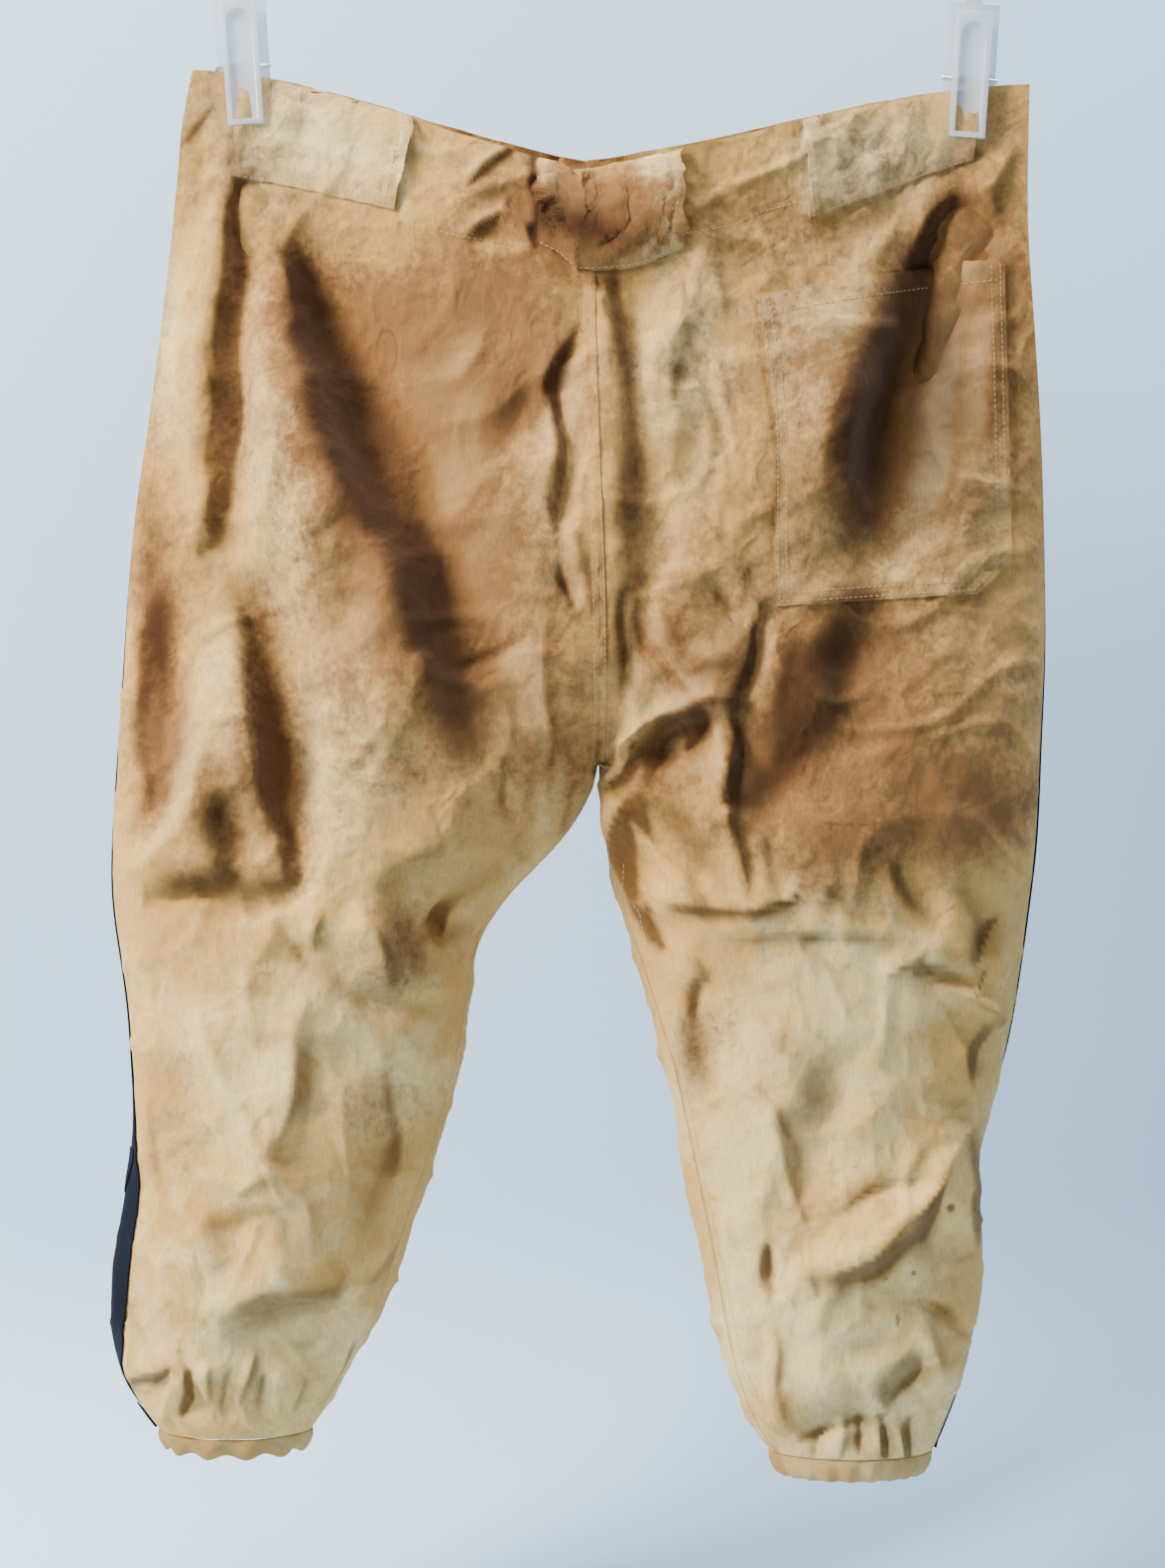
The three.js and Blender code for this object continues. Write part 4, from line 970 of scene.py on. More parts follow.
def make_casing(node, name):
    """The gathered elastic casing, rounded from its solid."""
    piece = copy_of(node, name)
    modify(piece, "SUBSURF", levels=2, render_levels=2)
    edit(piece)
    bpy.ops.uv.smart_project(angle_limit=math.radians(66), island_margin=0.0)
    leave_edit()
    take(piece)
    bpy.ops.object.shade_smooth()
    return piece


# Stitches: the length of one, the step to the next and half the thread's thickness

STITCH = 2.5
STITCH_STEP = 3.3
THREAD = 0.24


def make_row(name, route, tree, facing):
    """A row of stitches along a route in x and z, on a surface."""
    points, _, reach = measured(route)
    places = np.linspace(0, reach[-1], max(3, int(reach[-1] / 3)))
    spots = []
    for x, z in zip(np.interp(places, reach, points[:, 0]), np.interp(places, reach, points[:, 1])):
        spot, normal = on_surface(tree, x, z, facing)
        spots.append(spot + normal * THREAD * 0.4 * MM)
    deselect()
    bpy.ops.curve.primitive_nurbs_path_add()
    guide = bpy.context.object
    spline = guide.data.splines[0]
    spline.points.add(max(0, len(spots) - len(spline.points)))
    for i, point in enumerate(spline.points):
        point.co = (*spots[min(i, len(spots) - 1)], 1)
    spline.order_u = 2
    spline.use_endpoint_u = True
    deselect()
    bpy.ops.mesh.primitive_uv_sphere_add(
        segments=6, ring_count=4, radius=MM, scale=(STITCH / 2, THREAD, THREAD), location=(0, 0, 0)
    )
    row = named(name)
    settle(row)
    modify(
        row, "ARRAY", fit_type="FIT_CURVE", curve=guide, use_relative_offset=False,
        use_constant_offset=True, constant_offset_displace=(STITCH_STEP * MM, 0, 0)
    )
    modify(row, "CURVE", object=guide, deform_axis="POS_X")
    take(guide)
    bpy.ops.object.delete()
    return row


def make_stitches(name, routes, tree, facing):
    """Rows of stitches, joined."""
    rows = [make_row(f"{name}_{i}", route, tree, facing) for i, route in enumerate(routes)]
    deselect()
    for row in rows:
        row.select_set(True)
    bpy.context.view_layer.objects.active = rows[0]
    bpy.ops.object.join()
    piece = named(name)
    smooth_shade(piece, 60)
    return piece


def pocket_row(inset):
    """The route of a row this far inside the pocket's sides and bottom, in shares."""
    left = [(inset, down) for down in np.linspace(0.01, 1 - inset * 0.8, 12)]
    bottom = [(across, 1 - inset * 0.8) for across in np.linspace(inset, 0.86 - inset, 8)]
    right = [(1 - inset, down) for down in np.linspace(0.9 - inset * 0.8, 0.01, 10)]
    return [pocket_outline(across, down) for across, down in left + bottom + right]


# Clips, hanger and button

def rounded_copy(node, name, width, degrees=30):
    """A copy of a hard CAD node with its edges rounded."""
    piece = copy_of(node, name)
    edit(piece)
    bpy.ops.mesh.dissolve_limited(angle_limit=math.radians(2))
    leave_edit()
    modify(
        piece, "BEVEL", width=width * MM, segments=3, limit_method="ANGLE",
        angle_limit=math.radians(degrees), harden_normals=False
    )
    smooth_shade(piece, 35)
    return piece


def make_button(node, name):
    """A button with rounded edges."""
    piece = copy_of(node, name)
    modify(piece, "BEVEL", width=0.6 * MM, segments=3, limit_method="ANGLE", angle_limit=math.radians(40))
    smooth_shade(piece, 40)
    return piece


# Finishes

def new_material(name):
    material = bpy.data.materials.new(name)
    material.use_nodes = True
    return material, material.node_tree


def make_group(name, inputs, outputs):
    """A shader group with these sockets, as name and kind pairs."""
    group = bpy.data.node_groups.new(name, "ShaderNodeTree")
    for label, kind in inputs:
        group.interface.new_socket(name=label, in_out="INPUT", socket_type="NodeSocket" + kind)
    for label, kind in outputs:
        group.interface.new_socket(name=label, in_out="OUTPUT", socket_type="NodeSocket" + kind)
    return group, group.nodes.new("NodeGroupInput").outputs, group.nodes.new("NodeGroupOutput").inputs


def feed(tree, socket, value):
    """Sets a socket to a value, or links another socket to it."""
    if isinstance(value, bpy.types.NodeSocket):
        tree.links.new(value, socket)
    else:
        socket.default_value = value


def calculate(tree, operation, *values):
    node = tree.nodes.new("ShaderNodeMath")
    node.operation = operation
    for socket, value in zip(node.inputs, values):
        feed(tree, socket, value)
    return node.outputs[0]


def add_share(tree, total, value, share):
    """The total plus this share of a value."""
    return calculate(tree, "MULTIPLY_ADD", value, share, total)


def blend(tree, share, a, b, kind="MIX"):
    node = tree.nodes.new("ShaderNodeMix")
    node.data_type = "RGBA"
    node.blend_type = kind
    feed(tree, node.inputs[0], share)
    feed(tree, node.inputs[6], a)
    feed(tree, node.inputs[7], b)
    return node.outputs[2]


def noise(tree, vector, scale, detail=4.0, roughness=0.6, distortion=0.0):
    node = tree.nodes.new("ShaderNodeTexNoise")
    node.inputs["Scale"].default_value = scale
    node.inputs["Detail"].default_value = detail
    node.inputs["Roughness"].default_value = roughness
    node.inputs["Distortion"].default_value = distortion
    feed(tree, node.inputs["Vector"], vector)
    return node.outputs["Fac"]


def rise(tree, value, low, high):
    """Rises smoothly from 0 to 1 as the value goes from low to high."""
    node = tree.nodes.new("ShaderNodeMapRange")
    node.interpolation_type = "SMOOTHSTEP"
    node.inputs["From Min"].default_value = low
    node.inputs["From Max"].default_value = high
    feed(tree, node.inputs["Value"], value)
    return node.outputs["Result"]


def stretch(tree, vector, scale):
    node = tree.nodes.new("ShaderNodeMapping")
    node.inputs["Scale"].default_value = scale
    feed(tree, node.inputs["Vector"], vector)
    return node.outputs["Vector"]


def layer(tree, name):
    """A layer of values painted on the mesh."""
    node = tree.nodes.new("ShaderNodeAttribute")
    node.attribute_name = name
    return node.outputs["Fac"]


def bump(tree, height, strength, distance):
    node = tree.nodes.new("ShaderNodeBump")
    node.inputs["Strength"].default_value = strength
    node.inputs["Distance"].default_value = distance * MM
    feed(tree, node.inputs["Height"], height)
    return node.outputs["Normal"]


def twill_group():
    """Fine diagonal ribs and uneven threads, as a height and a shade."""
    group, given, out = make_group(
        "twill weave", [("Map", "Vector")], [("Height", "Float"), ("Shade", "Float")]
    )
    wave = group.nodes.new("ShaderNodeTexWave")
    wave.wave_type = "BANDS"
    wave.bands_direction = "DIAGONAL"
    wave.inputs["Scale"].default_value = 480
    wave.inputs["Distortion"].default_value = 1.5
    wave.inputs["Detail"].default_value = 2
    wave.inputs["Detail Scale"].default_value = 0.3
    feed(group, wave.inputs["Vector"], given["Map"])
    warp = noise(group, stretch(group, given["Map"], (1, 0.16, 1)), 950, 3, 0.7)
    weft = noise(group, stretch(group, given["Map"], (0.16, 1, 1)), 950, 3, 0.7)
    threads = calculate(group, "ADD", warp, weft)
    height = add_share(group, threads, wave.outputs["Fac"], 0.7)
    feed(group, out["Height"], height)
    feed(group, out["Shade"], add_share(group, 0.5, height, 0.5))
    return group


def dirt_and_shade_group():
    """Old dirt over a ground colour: pale and brown areas, the brown partly painted shade along the slopes,
    specks, and painted shade in the folds with painted highlight on their lit sides.
    """
    group, given, out = make_group(
        "old dirt and painted shade",
        [("Place", "Vector"), ("Map", "Vector"), ("Ground", "Color"), ("Pale", "Color"), ("Brown", "Color"),
         ("Stain And Slope Shade", "Float"), ("Paler Area", "Float"), ("Painted Shade And Light", "Float")],
        [("Colour", "Color")],
    )
    spot = given["Place"]
    broad = noise(group, spot, 10, 5, 0.6, 0.6)
    mottle = noise(group, spot, 38, 5, 0.65, 0.8)
    fine = noise(group, spot, 190, 5, 0.75)
    streaks = noise(group, stretch(group, given["Map"], (1, 0.12, 1)), 130, 4, 0.65)
    patchy = calculate(group, "ADD", rise(group, broad, 0.15, 0.85), rise(group, mottle, 0.18, 0.82))
    uneven = calculate(group, "MULTIPLY", patchy, 0.5)
    paler_area = calculate(group, "ADD", given["Paler Area"], uneven)
    colour = blend(group, rise(group, paler_area, 0.45, 1.0), given["Ground"], given["Pale"])
    # Brown over the stains, which along the slopes are partly painted shade
    dirt_and_slope_shade = add_share(group, given["Stain And Slope Shade"], uneven, 0.9)
    dirt_and_slope_shade = add_share(group, dirt_and_slope_shade, rise(group, fine, 0.35, 0.7), 0.22)
    dirt_and_slope_shade = add_share(group, dirt_and_slope_shade, streaks, 0.14)
    colour = blend(group, rise(group, dirt_and_slope_shade, 0.70, 1.45), colour, given["Brown"])
    # Painted highlight: the sides of the folds that face the window are painted paler
    painted_highlight = calculate(group, "MULTIPLY", rise(group, given["Painted Shade And Light"], 0.0, -1.0), 0.4)
    colour = blend(group, painted_highlight, colour, given["Pale"])
    # Painted shade: the sides of the folds turned from the window are darkened with this colour
    painted_shade = rise(group, given["Painted Shade And Light"], 0.0, 1.1)
    colour = blend(group, painted_shade, colour, (0.27, 0.225, 0.195, 1), "MULTIPLY")
    specks = group.nodes.new("ShaderNodeTexVoronoi")
    specks.inputs["Scale"].default_value = 90
    feed(group, specks.inputs["Vector"], spot)
    near = rise(group, specks.outputs["Distance"], 0.10, 0.04)
    chance = rise(group, specks.outputs["Color"], 0.82, 0.9)
    speck = calculate(group, "MULTIPLY", calculate(group, "MULTIPLY", near, chance), 0.5)
    feed(group, out["Colour"], blend(group, speck, colour, (0.13, 0.07, 0.035, 1)))
    return group


# Old marks on the back, as the camera sees them: middle in x and z, half width, half
# height and strength
SPOTS = [
    (-185, -366, 2, 7, 0.5),
    (-183, -350, 1.2, 4, 0.5),
    (135, -567, 12, 0.9, 0.7),
    (123, -567, 1.2, 3, 0.7),
    (147, -567, 1.2, 3, 0.7),
    (191, -780, 2.6, 3, 0.9),
    (154, -818, 1.5, 1.5, 0.7),
    (170, -816, 1.5, 1.5, 0.7),
    (161, -842, 1.4, 4, 0.6),
    (154, -778, 7, 6, 0.25),
]
RINGS = [
    (-125, -300, 6, 12, 0.55),
]

# The cloth is nearer to the camera than the middle plane, so a mark on it is smaller
CLOTH_NEARER = 0.972


def ellipse(group, spot, x, z, width, height):
    """Distance from the middle of an ellipse, which is 1 on it."""
    node = group.nodes.new("ShaderNodeMapping")
    real_x = VIEW_X + (x - VIEW_X) * CLOTH_NEARER
    real_z = VIEW_Z + (z - VIEW_Z) * CLOTH_NEARER
    node.inputs["Scale"].default_value = (1 / (width * MM), 0, 1 / (height * MM))
    node.inputs["Location"].default_value = (-real_x / width, 0, -real_z / height)
    feed(group, node.inputs["Vector"], spot)
    length = group.nodes.new("ShaderNodeVectorMath")
    length.operation = "LENGTH"
    feed(group, length.inputs[0], node.outputs["Vector"])
    return length.outputs["Value"]


def mark_group():
    """Rust marks and spots on the back, as a mask."""
    group, given, out = make_group("rust marks", [("Place", "Vector")], [("Mask", "Float")])
    parts = group.nodes.new("ShaderNodeSeparateXYZ")
    feed(group, parts.inputs[0], given["Place"])
    total = None
    for x, z, width, height, strength in SPOTS:
        near = rise(group, ellipse(group, given["Place"], x, z, width, height), 1.3, 0.5)
        mark = calculate(group, "MULTIPLY", near, strength)
        total = mark if total is None else calculate(group, "MAXIMUM", total, mark)
    for x, z, width, height, strength in RINGS:
        apart = calculate(group, "SUBTRACT", ellipse(group, given["Place"], x, z, width, height), 1.0)
        near = rise(group, calculate(group, "ABSOLUTE", apart), 0.2, 0.03)
        total = calculate(group, "MAXIMUM", total, calculate(group, "MULTIPLY", near, strength))
    broken = rise(group, noise(group, given["Place"], 160, 3, 0.6), 0.3, 0.55)
    total = calculate(group, "MULTIPLY", total, broken)
    behind = rise(group, parts.outputs["Y"], 0.005, -0.005)
    feed(group, out["Mask"], calculate(group, "MULTIPLY", total, behind))
    return group


def cloth_finish(name, ground, pale, brown, groups):
    material, tree = new_material(name)
    shader = tree.nodes["Principled BSDF"].inputs
    shader["Roughness"].default_value = 0.92
    shader["Specular IOR Level"].default_value = 0.12
    shader["Sheen Weight"].default_value = 0.04
    shader["Sheen Roughness"].default_value = 0.55
    where = tree.nodes.new("ShaderNodeTexCoord").outputs
    dirt_and_shade = tree.nodes.new("ShaderNodeGroup")
    dirt_and_shade.node_tree = groups["dirt_and_shade"]
    weave = tree.nodes.new("ShaderNodeGroup")
    weave.node_tree = groups["twill"]
    feed(tree, weave.inputs["Map"], where["UV"])
    feed(tree, dirt_and_shade.inputs["Place"], where["Object"])
    feed(tree, dirt_and_shade.inputs["Map"], where["UV"])
    feed(tree, dirt_and_shade.inputs["Ground"], ground)
    feed(tree, dirt_and_shade.inputs["Pale"], pale)
    feed(tree, dirt_and_shade.inputs["Brown"], brown)
    # The painted layers: stains with painted shade along the slopes, paler areas, and the painted shade and
    # highlight of the folds
    for socket, painted in (("Stain And Slope Shade", "stain_and_slope_shade"), ("Paler Area", "paler_area"), ("Painted Shade And Light", "painted_shade_and_light")):
        feed(tree, dirt_and_shade.inputs[socket], layer(tree, painted))
    marks = tree.nodes.new("ShaderNodeGroup")
    marks.node_tree = groups["marks"]
    feed(tree, marks.inputs["Place"], where["Object"])
    colour = blend(tree, marks.outputs["Mask"], dirt_and_shade.outputs["Colour"], (0.15, 0.055, 0.02, 1))
    shade = rise(tree, weave.outputs["Shade"], 0.45, 1.05)
    colour = blend(tree, 0.45, colour, shade, "MULTIPLY")
    yarn = noise(tree, stretch(tree, where["UV"], (1, 0.25, 1)), 620, 4, 0.7)
    colour = blend(tree, 0.22, colour, rise(tree, yarn, 0.25, 0.6), "MULTIPLY")
    feed(tree, shader["Base Color"], colour)
    height = calculate(tree, "MULTIPLY", noise(tree, where["Object"], 70, 5, 0.62, 0.9), 10.0)
    swirl = noise(tree, where["Object"], 24, 3, 0.55, 0.3)
    apart = calculate(tree, "ABSOLUTE", calculate(tree, "SUBTRACT", swirl, 0.5))
    height = add_share(tree, height, rise(tree, apart, 0.09, 0.0), 3.5)
    height = add_share(tree, height, weave.outputs["Height"], 1.6)
    feed(tree, shader["Normal"], bump(tree, height, 0.8, 0.18))
    return material


def grained_finish(name, colour, roughness, metallic=0.0, scale=400.0, depth=0.02):
    """A finish with a fine grain in its roughness and its surface."""
    material, tree = new_material(name)
    shader = tree.nodes["Principled BSDF"].inputs
    shader["Base Color"].default_value = colour
    shader["Metallic"].default_value = metallic
    grain = noise(tree, tree.nodes.new("ShaderNodeTexCoord").outputs["Object"], scale, 3)
    rough = add_share(tree, roughness - 0.07, grain, 0.15)
    feed(tree, shader["Roughness"], rough)
    feed(tree, shader["Normal"], bump(tree, grain, 0.4, depth))
    return material


def clear_finish():
    material = grained_finish("clear plastic", (0.80, 0.86, 0.94, 1), 0.16)
    shader = material.node_tree.nodes["Principled BSDF"].inputs
    shader["Transmission Weight"].default_value = 0.5
    shader["IOR"].default_value = 1.46
    return material


def finish(piece, material):
    piece.data.materials.clear()
    piece.data.materials.append(material)
    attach(piece, "root")


# Dirt on the back and the front alike, and below it the paler areas: middle in x and
# z, half width along and across, turn in degrees, and strength
STAINS = [
    (-120, -330, 70, 80, 20, 0.5),
    (-60, -300, 50, 60, 0, 0.4),
    (-90, -440, 60, 70, -25, 0.5),
    (-40, -500, 34, 60, 0, 0.35),
    (-245, -490, 16, 80, 0, 0.35),
    (-200, -560, 40, 50, 0, 0.4),
    (-112, -640, 40, 26, 0, 0.3),
    (40, -470, 40, 50, 0, 0.3),
    (160, -350, 70, 80, 0, 0.5),
    (205, -260, 30, 60, 0, 0.55),
    (130, -520, 80, 60, 0, 0.5),
    (200, -560, 40, 30, 0, 0.5),
    (120, -575, 60, 30, 0, 0.3),
    (-20, -220, 70, 26, 0, 0.3),
    (-10, -234, 30, 26, 0, 0.8),
    (-255, -430, 14, 50, 0, 0.4),
    (70, -230, 60, 20, 0, 0.35),
    (-235, -720, 24, 50, 0, 0.35),
    (-130, -724, 50, 22, 0, 0.25),
    (60, -680, 20, 50, 0, 0.3),
    (-90, -790, 20, 70, 0, 0.35),
]
PALER_AREAS = [
    (-150, -190, 60, 26, -15, 0.5),
    (-245, -290, 10, 60, 0, 0.5),
    (28, -222, 10, 26, 0, 0.9),
    (-113, -205, 3, 30, 0, 0.7),
    (110, -206, 3, 30, 0, 0.7),
    (-37, -225, 3, 26, 0, 0.7),
    (-180, -340, 22, 110, 0, 0.45),
    (-40, -400, 16, 80, 0, 0.3),
    (-215, -490, 22, 50, 0, 0.3),
    (-150, -540, 30, 60, 0, 0.4),
    (-200, -690, 60, 60, 0, 0.4),
    (-190, -850, 60, 50, 0, 0.4),
    (-110, -700, 30, 30, 0, 0.3),
    (40, -320, 30, 70, 0, 0.4),
    (150, -200, 50, 22, 10, 0.6),
    (115, -320, 26, 50, 0, 0.25),
    (150, -660, 70, 40, 0, 0.4),
    (110, -740, 60, 60, 0, 0.35),
    (130, -860, 60, 50, 0, 0.45),
    (70, -800, 14, 90, 0, 0.4),
]


def blots(x, z, table):
    """The sum of the soft blots of a table at x and z."""
    total = np.zeros_like(x)
    for middle_x, middle_z, length, width, turn, strength in table:
        angle = math.radians(turn)
        dx = x - middle_x
        dz = z - middle_z
        along = dx * math.cos(angle) + dz * math.sin(angle)
        across = dz * math.cos(angle) - dx * math.sin(angle)
        total += strength * np.exp(-((along / length) ** 2) - (across / width) ** 2)
    return total


def shaded(x, z, facing):
    """How far the folds turn the cloth from the window, as painted shade and light: above 0
    where they turn away, which is painted shade, and below 0 on their sides that face the
    window, which is painted highlight."""
    reach = 1.5
    east, west = (crease_height(x + step, z, *CREASES[facing]) for step in (reach, -reach))
    above, below = (crease_height(x, z + step, *CREASES[facing]) for step in (reach, -reach))
    slope_x = (east - west) / (2 * reach)
    slope_z = (above - below) / (2 * reach)
    lit = WINDOW[1] - WINDOW[0] * slope_x - WINDOW[2] * slope_z
    lit /= np.sqrt(1 + slope_x**2 + slope_z**2)
    return SHADE_PAINT * np.clip((WINDOW[1] - lit) / 0.6, -0.7, 0.9)


def paint_dirt_and_shade(piece, facing, creased=True):
    """Paints the layers that the cloth's finish reads: stains, paler areas, and the painted shade and
    highlight of the folds.
    """
    x, z = seen(coordinates(piece) / MM)
    slopes = CREASES[facing][2]
    stain_and_slope_shade = blots(x, z, STAINS) + UPPER_STAIN * ease(z, -650, -540)
    # Brown along each slope, as dirt and as painted shade
    for route, width, fall in slopes:
        distance, along, _, _ = route_field(x, z, route)
        ends = ease(along, 0, 0.15) * ease(1 - along, 0, 0.15)
        stain_and_slope_shade += SLOPE_STAIN_AND_SHADE * abs(fall) * ends * np.exp(-((distance / width) ** 2))
    # Painted shade where the folds turn from the window, and painted highlight where they face it
    painted_shade_and_light = shaded(x, z, facing) if creased else np.zeros_like(x)
    # On the back, painted shade along the dark lines and painted highlight along the pale ones
    if facing == BACK:
        for route, near, far, strength in BACK_SHADE_AND_LIGHT_LINES:
            distance, along, _, lee = route_field(x, z, route)
            swell = np.sin(math.pi * along)
            width = np.where(lee > 0, far, near) * (0.5 + 0.5 * swell)
            painted_shade_and_light += LINE_SHADE_AND_LIGHT * strength * swell**0.6 * np.exp(-((distance / width) ** 1.4))
    painted = {"stain_and_slope_shade": stain_and_slope_shade, "paler_area": blots(x, z, PALER_AREAS), "painted_shade_and_light": np.clip(painted_shade_and_light, -1, 1.2)}
    for name, values in painted.items():
        values = values.astype(np.float32)
        piece.data.attributes.new(name, "FLOAT", "POINT").data.foreach_set("value", values)


# Camera, light and backdrop

def make_camera():
    deselect()
    spot = (VIEW_X * MM, -VIEW_DISTANCE * MM, VIEW_Z * MM)
    bpy.ops.object.camera_add(location=spot, rotation=(math.pi / 2, 0, 0))
    camera = bpy.context.object
    camera.data.sensor_fit = "VERTICAL"
    camera.data.sensor_height = SENSOR
    camera.data.lens = SENSOR * VIEW_DISTANCE / VIEW_HEIGHT
    bpy.context.scene.camera = camera


# The lights: place, target, size, power and colour
LIGHTS = {
    "window": ((-2.1, -0.95, 0.8), (0, 0, -0.5), (0.7, 0.9), 185, (1.0, 0.925, 0.80)),
    "fill": ((0.4, -2.6, -0.2), (0, 0, -0.6), (1.2, 1.2), 9, (1.0, 0.94, 0.86)),
    "wall wash": ((0.5, 0.02, 1.2), (0.3, 0.4, -1.2), (2.4, 0.2), 112, (0.84, 0.93, 1.0)),
}


def make_light(name, spot, target, size, power, colour):
    deselect()
    turn = (Vector(target) - Vector(spot)).to_track_quat("-Z", "Y").to_euler()
    bpy.ops.object.light_add(type="AREA", location=spot, rotation=turn)
    light = named(name)
    light.data.shape = "RECTANGLE"
    light.data.size, light.data.size_y = size
    light.data.energy = power
    light.data.color = colour


def backdrop_finish():
    """Matt and pale in front, and clear from behind, so that the front can be seen."""
    material = grained_finish("pale backdrop", (0.50, 0.67, 0.87, 1), 0.9, scale=60, depth=0.3)
    tree = material.node_tree
    mix = tree.nodes.new("ShaderNodeMixShader")
    feed(tree, mix.inputs[0], tree.nodes.new("ShaderNodeNewGeometry").outputs["Backfacing"])
    feed(tree, mix.inputs[1], tree.nodes["Principled BSDF"].outputs["BSDF"])
    feed(tree, mix.inputs[2], tree.nodes.new("ShaderNodeBsdfTransparent").outputs["BSDF"])
    feed(tree, tree.nodes["Material Output"].inputs["Surface"], mix.outputs[0])
    return material


def make_stage():
    """A plain pale backdrop that curves into the floor, and the lights."""
    floor = -1.02
    wall = 0.26
    bend = 0.2
    flat = 1.5
    deselect()
    bpy.ops.mesh.primitive_grid_add(x_subdivisions=2, y_subdivisions=80, size=1)
    sheet = named("backdrop")
    points = coordinates(sheet)
    arc = bend * math.pi / 2
    run = (points[:, 1] + 0.5) * (2 * flat + arc)
    angle = np.clip(run - flat, 0, arc) / bend
    up = np.clip(run - flat - arc, 0, None)
    y = wall - bend - flat + np.minimum(run, flat) + bend * np.sin(angle)
    z = floor + bend * (1 - np.cos(angle)) + up
    place(sheet, np.column_stack((points[:, 0] * 6, y, z)))
    take(sheet)
    bpy.ops.object.shade_smooth()
    sheet.data.materials.append(backdrop_finish())
    for name, light in LIGHTS.items():
        make_light(name, *light)
    world = bpy.data.worlds.new("studio")
    world.use_nodes = True
    background = world.node_tree.nodes["Background"].inputs
    background["Color"].default_value = (1.0, 0.93, 0.86, 1)
    background["Strength"].default_value = 0.09
    bpy.context.scene.world = world


# Building

make_camera()
make_stage()
groups = {"twill": twill_group(), "dirt_and_shade": dirt_and_shade_group(), "marks": mark_group()}
# The brown of the stains, also laid along the slopes as painted shade
BROWN_DIRT_AND_SHADE = (0.24, 0.108, 0.034, 1)
cloth = cloth_finish("stained twill with painted shade", (0.58, 0.325, 0.092, 1), (0.80, 0.56, 0.235, 1), BROWN_DIRT_AND_SHADE, groups)
patch_cloth = cloth_finish("paler twill with painted shade", (0.57, 0.35, 0.12, 1), (0.80, 0.59, 0.28, 1), BROWN_DIRT_AND_SHADE, groups)
thread = grained_finish("sewing thread", (0.50, 0.34, 0.15, 1), 0.85)
navy = grained_finish("navy braid", (0.003, 0.004, 0.010, 1), 0.95, scale=900, depth=0.2)
navy.node_tree.nodes["Principled BSDF"].inputs["Specular IOR Level"].default_value = 0.15
horn = grained_finish("horn", (0.5, 0.43, 0.32, 1), 0.4)
clear = clear_finish()
steel = grained_finish("steel wire", (0.6, 0.6, 0.62, 1), 0.28, metallic=1.0)

panels = {}
for half in ("left", "right"):
    panels[f"back_{half}"] = make_panel(f"back_{half}", f"seat_panel_{half}", BACK)
    panels[f"front_{half}"] = make_panel(f"front_{half}", f"front_panel_{half}", FRONT)

seat_tree = surface_of([panels["back_left"], panels["back_right"]])
front_tree = surface_of([panels["front_left"], panels["front_right"]])
cloth_tree = surface_of(list(panels.values()))


def waist_line(face):
    """The x and z of every corner of the two panels of a face. Those of the back are
    where the camera sees them."""
    points = np.vstack([coordinates(panels[f"{face}_{half}"]) for half in ("left", "right")]) / MM
    if face == "back":
        return np.column_stack(seen(points))
    return points[:, [0, 2]]


waists = {BACK: waist_line("back"), FRONT: waist_line("front")}
trees = {BACK: seat_tree, FRONT: front_tree}

layers = {name: make_tunnel(name, trees[spec[0]], waists[spec[0]]) for name, spec in TUNNELS.items()}
layers["pocket_back"] = make_pocket(seat_tree)
layers["fly_flap"] = make_fly(front_tree, waists[FRONT])
seam = make_seam(seat_tree)

sewn_tree = surface_of([panels["back_left"], panels["back_right"], seam, *layers.values()])


def tunnel_row(name, shares):
    """The route of a row on a tunnel, from shares across and down it."""
    return [tunnel_outline(name, waists[BACK], across, down) for across, down in shares]


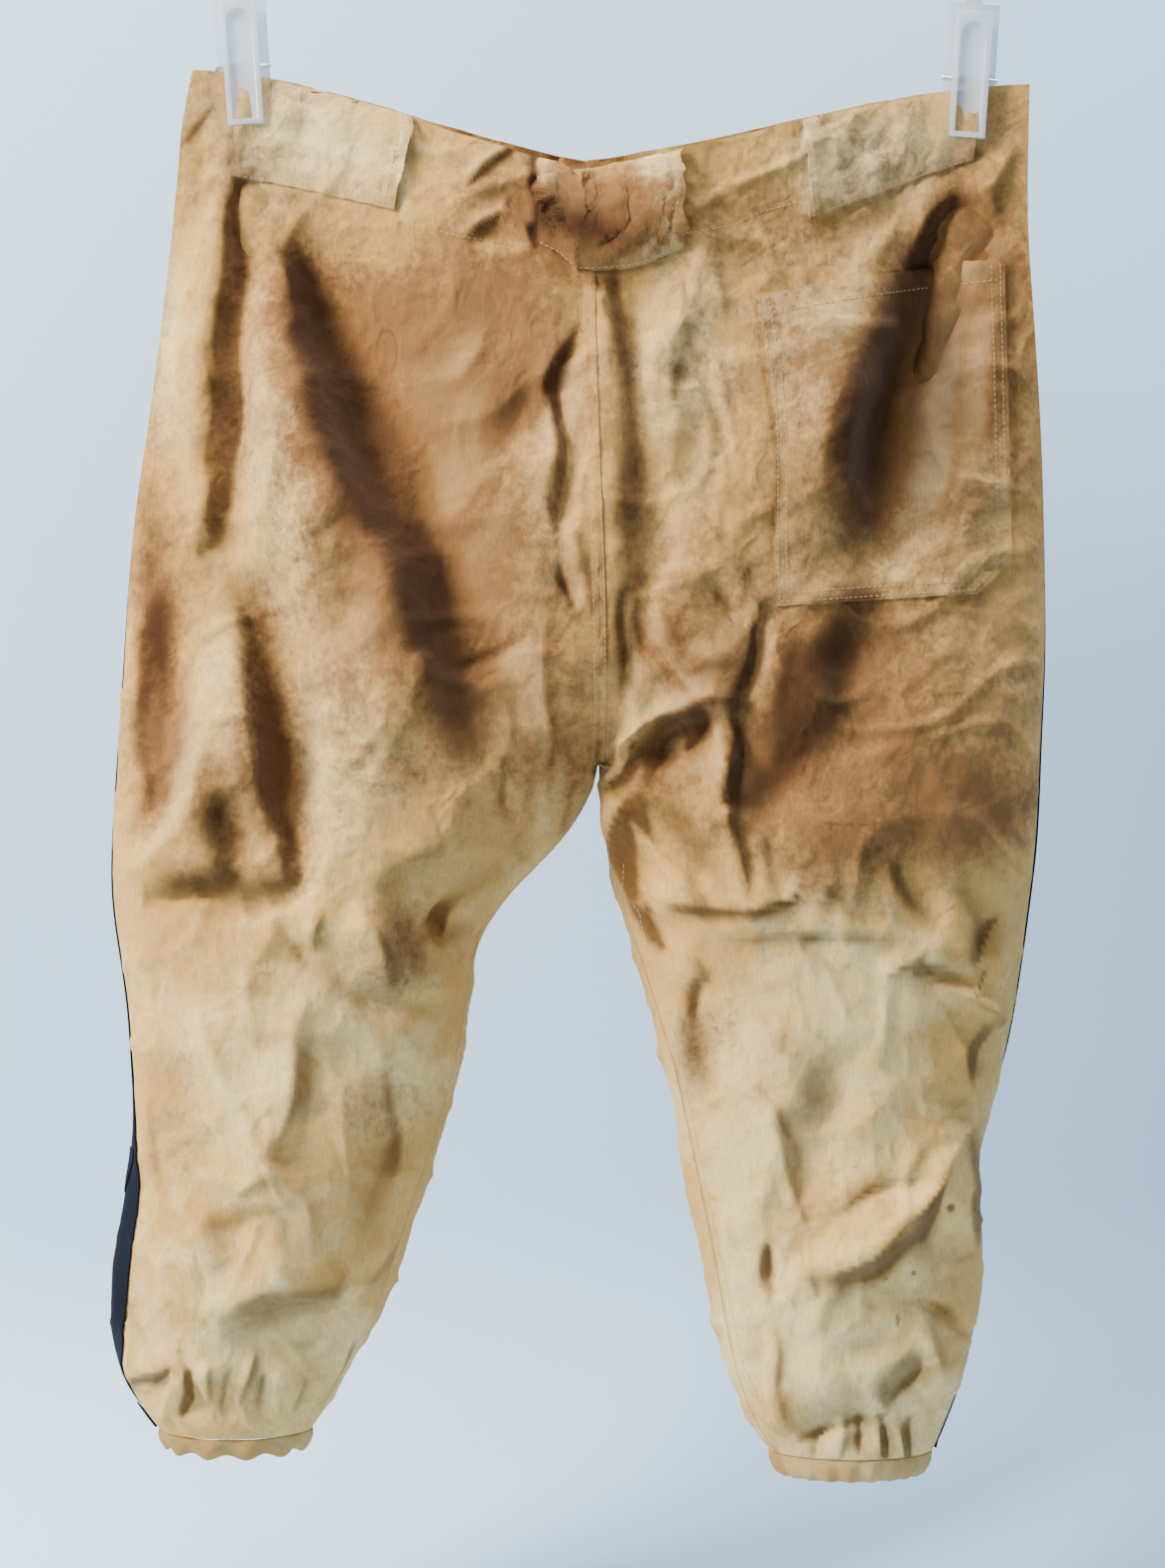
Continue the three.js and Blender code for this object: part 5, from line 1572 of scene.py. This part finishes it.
# The rows of stitches: round the pocket, along its mouth, on the belt tunnels, on both
# sides of the centre seam, under the tunnels, and down the right leg's inner seam
ROWS = [
    pocket_row(0.016),
    pocket_row(0.052),
    [pocket_outline(across, 0.058) for across in np.linspace(0.02, 0.97, 10)],
    tunnel_row("tunnel_left", [(0.02, 0.97), (0.5, 0.97), (0.97, 0.97)]),
    tunnel_row("tunnel_left", [(0.935, 0.04), (0.935, 0.5), (0.935, 0.96)]),
    tunnel_row("tunnel_centre", [(across, 0.965) for across in np.linspace(0.03, 0.97, 9)]),
    tunnel_row("tunnel_right", [(0.03, 0.965), (0.5, 0.965), (0.97, 0.965)]),
    tunnel_row("tunnel_right", [(0.03, 0.04), (0.03, 0.5), (0.03, 0.96)]),
    [(-8.8, -270), (-5.4, -340), (-1.4, -440), (-0.9, -500), (-1.8, -538)],
    [(-15.0, -272), (-11.6, -340), (-7.6, -440), (-7.1, -500), (-8.0, -530)],
    [(44, -239), (70, -235), (84, -228), (106, -222)],
    [(-117, -232), (-81, -241), (-47, -246)],
    [(9, -590), (8, -614), (17, -636), (29, -658), (39, -687), (50, -744), (64, -811), (75, -866),
     (84, -886)],
]
stitches = make_stitches("stitches_back", ROWS, sewn_tree, BACK)
finish(stitches, thread)

for node, piece in layers.items():
    paint_dirt_and_shade(piece, FRONT if "front" in node or node == "fly_flap" else BACK)
    thicken(piece, PATCH_WALL)
    finish(piece, patch_cloth)
    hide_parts(node)
paint_dirt_and_shade(seam, BACK)
thicken(seam, SEAM_WALL)
finish(seam, cloth)

for node, piece in panels.items():
    paint_dirt_and_shade(piece, BACK if node.startswith("back") else FRONT)
    thicken(piece, WALL)
    finish(piece, cloth)
    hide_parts(node)

# The clips' pieces: node, name, rounding of the edges, finish and slot
CLIP_PIECES = [
    ("clip_jaw", "clear_jaw", 0.5, clear, "clear_plastic"),
    ("clip_plate", "clear_plate", 0.6, clear, "clear_plastic"),
    ("clip_spring", "coil", 0.3, steel, "steel"),
]
for half in ("left", "right"):
    braid = make_braid(f"braid_{half}", f"side_braid_{half}", cloth_tree)
    finish(braid, navy)
    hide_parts(f"braid_{half}")
    casing = make_casing(f"casing_{half}", f"elastic_casing_{half}")
    paint_dirt_and_shade(casing, BACK, creased=False)
    finish(casing, cloth)
    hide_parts(f"casing_{half}")
    for node, name, width, material, slot in CLIP_PIECES:
        piece = rounded_copy(f"{node}_{half}", f"{name}_{half}", width)
        finish(piece, material)
        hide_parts(f"{node}_{half}")

for node in ("hanger_rod", "hanger_ferrule", "hanger_hook"):
    piece = copy_of(node, node + "_steel")
    smooth_shade(piece, 40)
    finish(piece, steel)
    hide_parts(node)
button = make_button("waist_button", "horn_button")
finish(button, horn)
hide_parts("waist_button")
